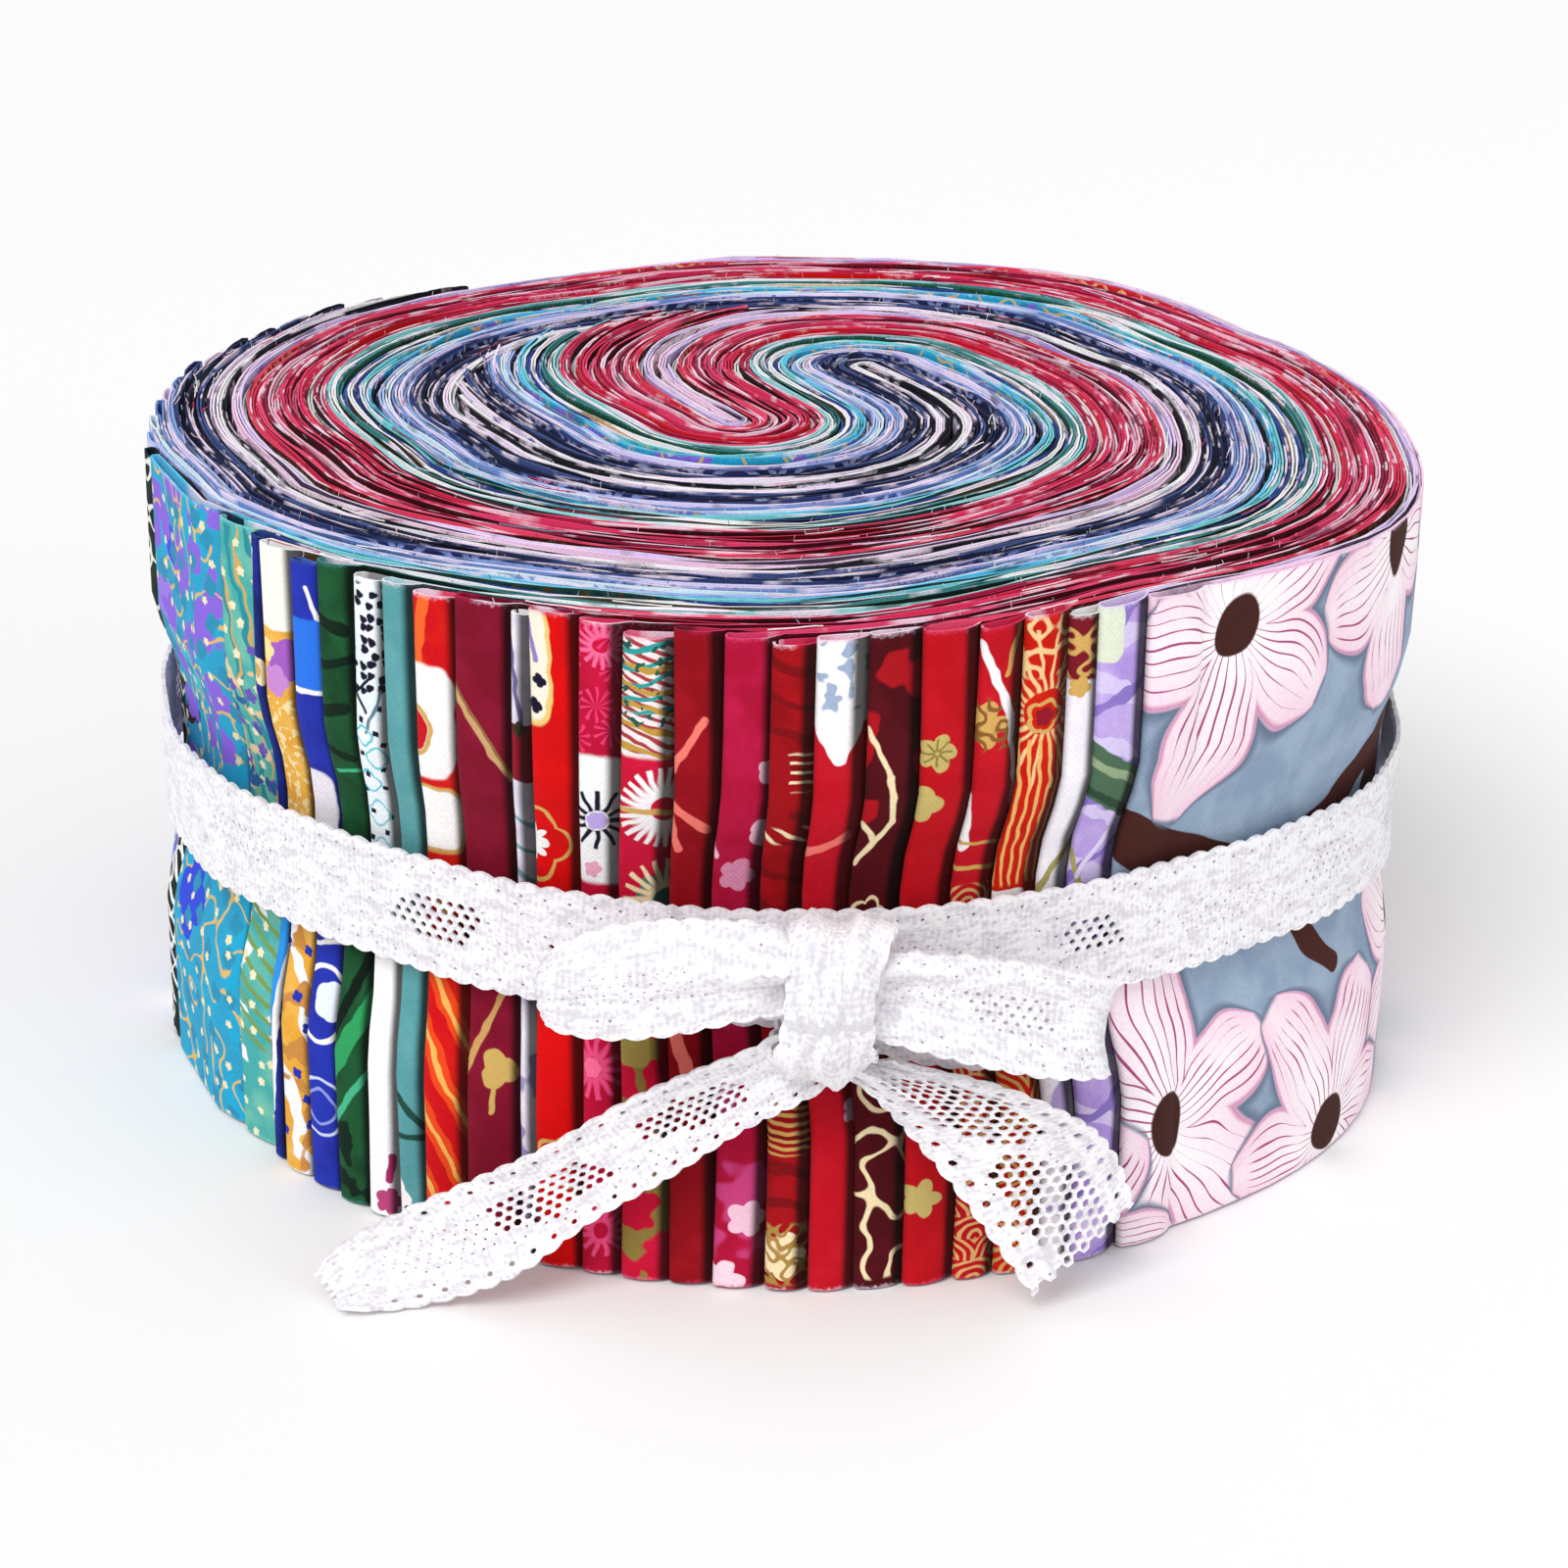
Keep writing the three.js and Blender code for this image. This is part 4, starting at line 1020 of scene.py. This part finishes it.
# for each piece: radius of its eyelets; the share of closely worked cells without a pinhole;
# and its fields of net, by place along and across, half length, half width, slant in degrees
# and hole radius
lace_patterns = {
    "ribbon_round_waist": (0.18, 0.84, [
        (376, 0.0, 4.8, 2.2, 22, 0.4), (389, -0.3, 1.6, 1.2, 0, 0.32),
        (20, 0.4, 5.5, 2.2, -20, 0.13), (38, 0.3, 3.0, 1.9, -25, 0.38),
        (53, -0.2, 6.0, 2.0, 20, 0.13), (86, 0.3, 5.5, 2.2, 20, 0.4), (68, 0.2, 4.0, 2.2, 20, 0.2),
        (112, -0.4, 5.0, 2.2, -20, 0.38), (134, 0.2, 6.0, 2.2, 20, 0.16),
        (158, 0.3, 4.6, 2.2, 24, 0.4), (182, -0.3, 6.0, 2.0, -15, 0.16),
        (206, 0.0, 4.8, 2.3, 22, 0.4), (231, 0.2, 6.0, 2.2, -20, 0.16),
        (255, -0.2, 4.8, 2.2, -22, 0.4), (279, 0.2, 6.0, 2.2, 20, 0.16),
        (303, 0.2, 4.6, 2.2, 22, 0.38), (328, 0.0, 5.5, 2.0, 15, 0.16),
        (350, 0.4, 5.5, 2.2, -20, 0.2)]),
    "bow_loop_left": (0.0, 0.97, [
        (33.0, -0.6, 6.0, 2.2, 15, 0.12)]),
    "bow_loop_right": (0.14, 0.92, [
        (38.0, 0.5, 4.2, 2.4, 20, 0.28), (47.0, 1.0, 3.0, 1.8, 30, 0.13)]),
    "bow_end_left": (0.33, 0.86, [
        (15.5, 0.3, 5.4, 2.6, 35, 0.42), (31.0, -0.2, 5.6, 2.7, 30, 0.43),
        (43.0, 0.4, 5.0, 2.8, 30, 0.14)]),
    "bow_end_right": (0.38, 0.9, [
        (10.0, 0.2, 6.6, 3.7, 32, 0.47), (25.0, -0.1, 6.6, 3.7, 34, 0.47)]),
    "knot_wrap": (0.0, 0.99, []),
}


def hole_radius(name, along, across):
    """Radius of the hole at a place on a piece of the ribbon, and nothing where it is closed."""
    eyelet, closed_share, net_fields = lace_patterns[name]
    inward = lace_width / 2 - abs(across)
    if 1.0 < inward < 2.1:
        return eyelet if along % (2 * cell_pitch) < cell_pitch else 0.0
    if inward < 2.1:
        return 0.0
    ragged = math.sin(12.9898 * along + 78.233 * across) * 43758.5453 % 1
    for field_along, field_across, half_length, half_width, slant, radius in net_fields:
        side = across - field_across
        off = along - field_along - side * math.tan(math.radians(slant))
        if (abs(side) / half_width) ** 3 + (abs(off) / half_length) ** 3 + 0.5 * ragged < 1.25:
            return radius * (0.86 + 0.2 * ragged)
    return 0.15 if ragged > closed_share else 0.0


def lace_sheet(name, length, place, material, closed=False):
    """A lace piece: place(along, across) gives points and outward directions in mm."""
    columns = int(round(length / cell_pitch))
    stretch = length / (columns * cell_pitch)
    corner_steps = [(0, 2), (-1, 1), (-1, -1), (0, -2), (1, -1), (1, 1)]
    flat, index, cells = [], {}, []

    def flat_point(along, across):
        if abs(across) > 6.2:
            scallop = 6.1 + 0.4 * abs(math.sin(math.pi * along / (2 * cell_pitch)))
            across = math.copysign(scallop, across)
        flat.append((along * stretch, across))
        return len(flat) - 1

    for row in range(lace_rows):
        for column in range(columns - (0 if closed else row % 2)):
            at = (2 * column + row % 2, 3 * row)
            corners = []
            for step in corner_steps:
                key = (at[0] + step[0], at[1] + step[1])
                if closed:
                    key = (key[0] % (2 * columns), key[1])
                if key not in index:
                    rows_up = key[1] - 3 * (lace_rows - 1) / 2
                    index[key] = flat_point(key[0] * cell_pitch / 2, rows_up * cell_radius / 2)
                corners.append(index[key])
            along = at[0] * cell_pitch / 2
            across = (row - (lace_rows - 1) / 2) * 1.5 * cell_radius
            radius = hole_radius(name, along, across)
            ring = []
            if radius > 0.05:
                for right, up in corner_steps:
                    angle = math.atan2(up * cell_radius / 2, right * cell_pitch / 2)
                    ring.append(flat_point(
                        along + radius * math.cos(angle), across + radius * math.sin(angle)))
            cells.append((corners, ring))
    flat = np.array(flat)
    middle, outward = place(flat[:, 0], flat[:, 1])
    worked = np.array([hole_radius(name, a, b) == 0 for a, b in flat])
    half = np.where(worked, 0.21, 0.15)[:, None]
    points = np.concatenate([middle + half * outward, middle - half * outward])
    below = len(flat)
    faces, edge_use = [], {}
    for corners, ring in cells:
        for k in range(6):
            edge_use[corners[k], corners[(k + 1) % 6]] = True
        if not ring:
            faces.append(list(corners))
            faces.append([below + c for c in corners[::-1]])
            continue
        for k in range(6):
            a, b, c, d = corners[k], corners[(k + 1) % 6], ring[(k + 1) % 6], ring[k]
            faces.append([a, b, c, d])
            faces.append([below + d, below + c, below + b, below + a])
            faces.append([d, c, below + c, below + d])
    for a, b in edge_use:
        if (b, a) not in edge_use:
            faces.append([b, a, below + a, below + b])
    uvs = np.concatenate([flat, flat])
    loop_uv = uvs[[v for face in faces for v in face]]
    return made_piece(name, points, faces, loop_uv, material, sharp=60)


print("cells across the ribbon:", lace_rows, "of", round(1.5 * cell_radius, 2), "mm")

# %% [markdown]
# The thread is bleached cotton: white, soft and matt, and closely worked parts have threads
# side by side with a faint sheen. Light passes a little way into it, which keeps its shadows
# pale, so the shader has a touch of subsurface scattering.

# %% Bleached lace thread
def lace_thread():
    material = new_material("bleached_cotton_lace", {
        "Roughness": 0.7, "Sheen Weight": 0.2, "Subsurface Weight": 0.15,
        "Subsurface Scale": 0.0006, "Subsurface Radius": (1.0, 1.0, 1.0)})
    ribbon = add("UVMap cloth_mm")
    place = add("SeparateXYZ", ribbon)
    swirl = add("TexNoise 2D", ribbon, 0.16, 1.0)
    turned = add("Math MULTIPLY_ADD", swirl, 16.0, add("Math MULTIPLY", place, 11.0))
    threads = add("Math SINE", turned)
    worked = add("VectorMath MULTIPLY", ribbon, (0.45, 1.0, 0))
    patches = add("TexNoise 2D", worked, 0.75, 3.0, 0.6)
    # small dents in the bump; the colour is also painted darker in them, as shade in a pinhole
    pits_and_painted_shade = add("TexVoronoi 2D", ribbon, 0.95, 0.0, 0.5, 2.0, 0.7)
    pits_and_painted_shade = soft_below(pits_and_painted_shade, 0.2, 0.1)
    fuzz = add("TexNoise 2D", ribbon, 1.8, 3.0)
    relief_and_pit_shade = fuzz
    for field, depth in ((threads, 0.1), (patches, 1.6), (pits_and_painted_shade, -0.3)):
        relief_and_pit_shade = add("Math MULTIPLY_ADD", field, depth, relief_and_pit_shade)
    # the colour follows the bump heights: its tone varies at random with the patches, and the
    # dents get painted shade
    tone = add("MapRange", relief_and_pit_shade, 0.95, 1.4, 0.0, 1.0)
    colour = add("Mix RGBA", tone, linear("#d9d5dd"), linear("#f6f4f7"))
    wire(colour, "Base Color")
    wire(add("Bump", 0.5, 0.00018, None, relief_and_pit_shade), "Normal")
    return material


lace = lace_thread()

# %% [markdown]
# The ribbon's long piece lies round the waist, over the folded ends and a little proud of
# them, since it bridges the steps between them.

# %% Ribbon round the waist
band_length = float(2 * math.pi * (np.mean(rim_radii[:-1]) - waist_depth + 1.4))


def round_the_waist(along, across):
    angle = 360 * along / band_length - 98
    slack = 0.18 * np.sin(np.radians(9 * angle))
    slack = slack + 0.12 * np.sin(np.radians(23 * angle) + across / 3)
    radius = rim_value(angle, rim_radii) - waist_depth + 1.35 + slack
    height = waist_height + 0.88 * across + 0.25 * np.sin(np.radians(5 * angle))
    turn = np.radians(angle)
    outward = np.stack([np.cos(turn), np.sin(turn), np.zeros_like(turn)], -1)
    return outward * radius[:, None] + np.stack([0 * turn, 0 * turn, height], -1), outward


band = lace_sheet("ribbon_round_waist", band_length, round_the_waist, lace, closed=True)

# %% [markdown]
# The loops and the free ends run between two edge curves each, the same ones as in the
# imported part. Near the knot the ribbon is gathered into pleats that fade along its length.

# %% Ribbon between two edge curves
def smooth_curve(points, shares):
    """Centripetal curve through points, at shares of its length in steps."""
    points = np.asarray(points, float)
    padded = np.vstack([2 * points[0] - points[1], points, 2 * points[-1] - points[-2]])
    place = np.clip(shares, 0, 1) * (len(points) - 1)
    first = np.minimum(place.astype(int), len(points) - 2)
    t = (place - first)[:, None]
    p0, p1, p2, p3 = (padded[first + k] for k in range(4))
    pairs = ((p0, p1), (p1, p2), (p2, p3))
    d0, d1, d2 = (np.linalg.norm(b - a, axis=1, keepdims=True) ** 0.5 for a, b in pairs)
    m1 = ((p1 - p0) / d0 - (p2 - p0) / (d0 + d1) + (p2 - p1) / d1) * d1
    m2 = ((p2 - p1) / d1 - (p3 - p1) / (d1 + d2) + (p3 - p2) / d2) * d1
    second, third = 3 * (p2 - p1) - 2 * m1 - m2, 2 * (p1 - p2) + m1 + m2
    return p1 + m1 * t + second * t ** 2 + third * t ** 3


def outward_of(surface, along, across, step, side_step, start=-math.inf, end=math.inf):
    """Outward directions of a surface, from its points a step ahead, back and to each side."""
    ahead = (surface(np.minimum(along + step, end), across)
             - surface(np.maximum(along - step, start), across))
    over = surface(along, across + side_step) - surface(along, across - side_step)
    return unit(np.cross(ahead, over))


def gathered_ribbon(lower, upper, crown, pleat, pleat_reach, both_ends, wave, phase):
    """Length of a ribbon between edge curves, and the function that places its points."""
    fine = np.linspace(0, 1, 401)
    middle = (smooth_curve(lower, fine) + smooth_curve(upper, fine)) / 2
    run = np.concatenate([[0], np.cumsum(np.linalg.norm(np.diff(middle, axis=0), axis=1))])
    length = float(run[-1])

    def bare(along, across):
        share = np.interp(along, run, fine)
        low, high = smooth_curve(lower, share), smooth_curve(upper, share)
        return low + (high - low) * (0.5 + across / lace_width)[:, None]

    def bent(along, across):
        part = 2 * across / lace_width
        from_knot = np.minimum(along, length - along) if both_ends else along
        depth = pleat * np.exp(-from_knot / pleat_reach)
        fold = depth * np.sin(4.6 * part + phase + 0.5 * np.sin(along / 3))
        fold = fold + 0.6 * depth * np.sin(10 * part + 2 * phase)
        sway = wave * np.minimum(1, from_knot / 6) * part * np.sin(along / 2.9 + phase)
        lift = crown * np.minimum(1, from_knot / 5) * (1 - part ** 2) + fold + sway
        outward = outward_of(bare, along, across, 0.4, 0.5, 0, length)
        return bare(along, across) + lift[:, None] * outward

    def place(along, across):
        return bent(along, across), outward_of(bent, along, across, 0.3, 0.3, 0, length)

    return length, place


# %% Tables of the bow
# loops: x, y and height of the lower edge, height of the upper edge, lean of the upper edge
left_loop = [
    (3.0, -67.0, 30.5, 35.0, 0.0), (-2.0, -66.4, 30.0, 36.0, -0.3),
    (-8.0, -65.9, 29.0, 36.4, -0.6), (-14.0, -66.0, 28.6, 35.8, -0.6),
    (-18.4, -66.9, 28.6, 34.8, -0.3), (-20.2, -68.8, 28.8, 34.8, 0.0),
    (-18.8, -70.6, 28.8, 36.8, 0.4), (-14.4, -71.8, 28.8, 38.9, 0.9),
    (-8.0, -72.4, 29.7, 39.9, 1.1), (-2.4, -72.3, 31.0, 39.6, 0.9), (3.0, -71.8, 31.8, 38.2, 0.6)]
right_loop = [
    (5.0, -67.0, 26.6, 34.6, 0.0), (11.0, -66.2, 24.4, 34.8, -0.4),
    (17.5, -64.9, 23.0, 33.8, -0.6), (24.0, -63.0, 22.2, 32.4, -0.4),
    (28.0, -62.4, 22.0, 31.0, 0.0), (29.4, -63.8, 22.2, 30.8, 0.0),
    (28.8, -66.0, 22.8, 32.2, 0.3), (24.0, -68.6, 24.0, 34.2, 0.9),
    (17.5, -70.8, 26.2, 35.9, 1.2), (11.0, -71.9, 28.4, 36.9, 1.0), (5.0, -71.8, 30.0, 36.8, 0.8)]
# free ends: points of the upper edge and of the lower edge
left_end = [
    ((3.6, -70.4, 31.0), (6.0, -70.2, 25.4)), ((-0.6, -69.4, 28.0), (1.6, -69.8, 21.8)),
    ((-7.0, -67.9, 24.2), (-3.8, -69.0, 17.8)), ((-14.0, -66.8, 19.6), (-10.2, -67.8, 12.8)),
    ((-21.1, -66.2, 14.9), (-16.8, -67.8, 8.0)), ((-28.0, -65.8, 10.9), (-22.8, -68.4, 3.6)),
    ((-34.0, -65.2, 7.6), (-28.6, -68.8, 1.1)), ((-39.2, -65.6, 4.2), (-34.4, -70.0, 0.8)),
    ((-42.0, -66.2, 1.4), (-39.4, -70.8, 0.8))]
right_end = [
    ((9.4, -68.4, 25.4), (4.4, -70.2, 25.6)), ((16.4, -67.2, 23.2), (7.8, -69.6, 23.0)),
    ((23.2, -65.4, 20.4), (11.6, -68.9, 18.4)), ((28.0, -63.8, 16.8), (15.8, -68.4, 12.8)),
    ((31.0, -62.2, 12.4), (19.4, -68.3, 7.4)), ((32.2, -61.4, 7.6), (23.8, -68.3, 1.4))]


# %% Loops and free ends
def loop_piece(name, rows, phase):
    lower = [(x, y, low) for x, y, low, high, lean in rows]
    upper = [(x, y + lean, high) for x, y, low, high, lean in rows]
    length, place = gathered_ribbon(lower, upper, 0.8, 1.15, 8.0, True, 0.12, phase)
    return lace_sheet(name, length, place, lace), length


def end_piece(name, rows, crown, phase):
    lower, upper = [low for high, low in rows], [high for high, low in rows]
    length, place = gathered_ribbon(lower, upper, crown, 0.8, 9.0, False, 0.6, phase)
    return lace_sheet(name, length, place, lace), length


loop_on_left, left_loop_length = loop_piece("bow_loop_left", left_loop, 0.6)
loop_on_right, right_loop_length = loop_piece("bow_loop_right", right_loop, 2.2)
end_on_left, left_end_length = end_piece("bow_end_left", left_end, 0.9, 1.0)
end_on_right, right_end_length = end_piece("bow_end_right", right_end, 0.6, 3.0)
bow_lengths = (left_loop_length, right_loop_length, left_end_length, right_end_length)
print("loops and ends, in mm:", [round(length, 1) for length in bow_lengths])

# %% [markdown]
# The knot is the ribbon's middle turn, drawn tight over the crossing of the two loops. From
# the front it is a narrow pleated wrap. Behind the wrap lies the crossing, pressed into a
# lump. The wrap is lace like the rest, bent round the lump, and its edge stands up in a small
# ruffle at the top. The lump is a rounded body with folds that run towards the loops.

# %% Knot
knot_centre = np.array([4.2, -70.2, 32.0])
knot_half = np.array([4.3, 4.7, 7.2])


def rounded_reach(direction):
    return np.sum(np.abs(direction) ** 2.3, axis=-1, keepdims=True) ** (-1 / 2.3)


wrap_length = 2 * math.pi * 5.9


def round_the_knot(along, across):
    def surface(along, across):
        turn = 2 * math.pi * along / wrap_length
        part = 2 * across / lace_width
        direction = np.stack([0 * turn, -np.cos(turn), np.sin(turn)], -1)
        top = np.clip(np.sin(turn), 0, 1) ** 4
        pleats = 0.07 * np.cos(6.5 * part + 2.8 * np.sin(turn) + 0.9)
        pleats = pleats + 0.025 * np.sin(15 * part + 2 * turn)
        edge = np.abs(part) ** 2.5
        size = 1.02 + pleats - 0.3 * edge * (1 - top)
        size = size + 0.05 * edge * top * (1 + 0.5 * np.sin(9 * part))
        point = direction * rounded_reach(direction) * knot_half * size[:, None]
        width = 0.68 + 0.1 * top - 0.08 * np.cos(turn) ** 2 - 0.06 * np.sin(turn)
        point[:, 0] = across * width + 0.9 * top + 0.3 * np.sin(turn)
        return point + knot_centre
    return surface(along, across), outward_of(surface, along, across, 0.3, 0.3)


wrap = lace_sheet("knot_wrap", wrap_length, round_the_knot, lace, closed=True)


def crossing_piece():
    rows, columns = 36, 56
    points, faces, loop_uv = [], [], []
    for r in range(rows + 1):
        tilt = math.pi * r / rows
        for c in range(columns):
            around = 2 * math.pi * c / columns
            ahead, aside, wide = math.cos(around), math.sin(around), math.sin(tilt)
            direction = np.array([wide * ahead, wide * aside, math.cos(tilt)])
            folds = 0.05 * wide * math.sin(9 * tilt + 1.5 * ahead)
            size = 0.9 + (folds + 0.03 * wide * math.cos(6 * around))
            reach = direction * rounded_reach(direction)
            points.append(knot_centre + reach * knot_half * size)
    for r in range(rows):
        for c in range(columns):
            d = (c + 1) % columns
            ring = [(r + 1, c), (r + 1, d), (r, d), (r, c)]
            faces.append([a * columns + b for a, b in ring])
            flat_ring = [(r + 1, c), (r + 1, c + 1), (r, c + 1), (r, c)]
            loop_uv.extend((0.6 * b, 0.4 * a) for a, b in flat_ring)
    return made_piece("knot_crossing", points, faces, loop_uv, lace)


crossing = crossing_piece()

# %% Lace pieces in place
def lace_in_place(piece, node):
    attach(piece, "root")
    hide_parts(node)


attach(crossing, "root")
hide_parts("lace_knot")
lace_in_place(band, "lace_band")
lace_in_place(loop_on_left, "lace_loop_left")
lace_in_place(loop_on_right, "lace_loop_right")
lace_in_place(end_on_left, "lace_tail_left")
lace_in_place(end_on_right, "lace_tail_right")
lace_in_place(wrap, "lace_knot")

# %% [markdown]
# ## Camera, floor and light
#
# The camera stands where the photograph was taken from: 366 mm from the middle of the roll,
# looking down by a little over 21 degrees, with a lens of 80 mm. The floor and the light are
# those of a product photograph: white, broad and soft, with just a thin shadow underneath.

# %% Camera
camera_data = bpy.data.cameras.new("product_camera")
camera_data.lens = 80.14
camera_data.sensor_width = 36
camera_data.shift_y = -0.0492
camera_data.clip_start = 0.01
camera = in_scene("product_camera", camera_data)
camera.location = (0, -0.34108, 0.16428)
tilt = Matrix.Rotation(math.radians(90 - 21.234), 4, "X")
roll = Matrix.Rotation(0.017, 4, "Z")
camera.matrix_world = Matrix.Translation(camera.location) @ tilt @ roll
bpy.context.scene.camera = camera
bpy.context.scene.view_settings.view_transform = "Standard"

# %% Floor and light
def plain_floor():
    mesh = bpy.data.meshes.new("studio_floor")
    reach = 4.0
    corners = [(-reach, -reach, 0), (reach, -reach, 0), (reach, reach, 0), (-reach, reach, 0)]
    mesh.from_pydata(corners, [], [(0, 1, 2, 3)])
    mesh.materials.append(new_material("white_paper_floor", {
        "Base Color": linear("#f7f7f7"), "Roughness": 0.9}))
    floor = in_scene("studio_floor", mesh)
    floor.location.z = -0.0001
    return floor


def soft_light(name, position, size, power):
    data = bpy.data.lights.new(name, "AREA")
    data.shape = "DISK"
    data.size = size
    data.energy = power
    light = in_scene(name, data)
    light.location = position
    light.rotation_euler = (-Vector(position)).to_track_quat("-Z", "Y").to_euler()


plain_floor()
sky_data = bpy.data.lights.new("window_light", "SUN")
sky_data.energy = 1.7
sky_data.angle = math.radians(35)
sky = in_scene("window_light", sky_data)
sky.rotation_euler = Vector((0.45, 0.75, -1.0)).to_track_quat("-Z", "Y").to_euler()
soft_light("right_panel", (1.0, -0.7, 0.5), 0.6, 2)
world = bpy.data.worlds.new("white_room")
world.use_nodes = True
world.node_tree.nodes["Background"].inputs["Color"].default_value = linear("#ffffff")
world.node_tree.nodes["Background"].inputs["Strength"].default_value = 0.63
bpy.context.scene.world = world
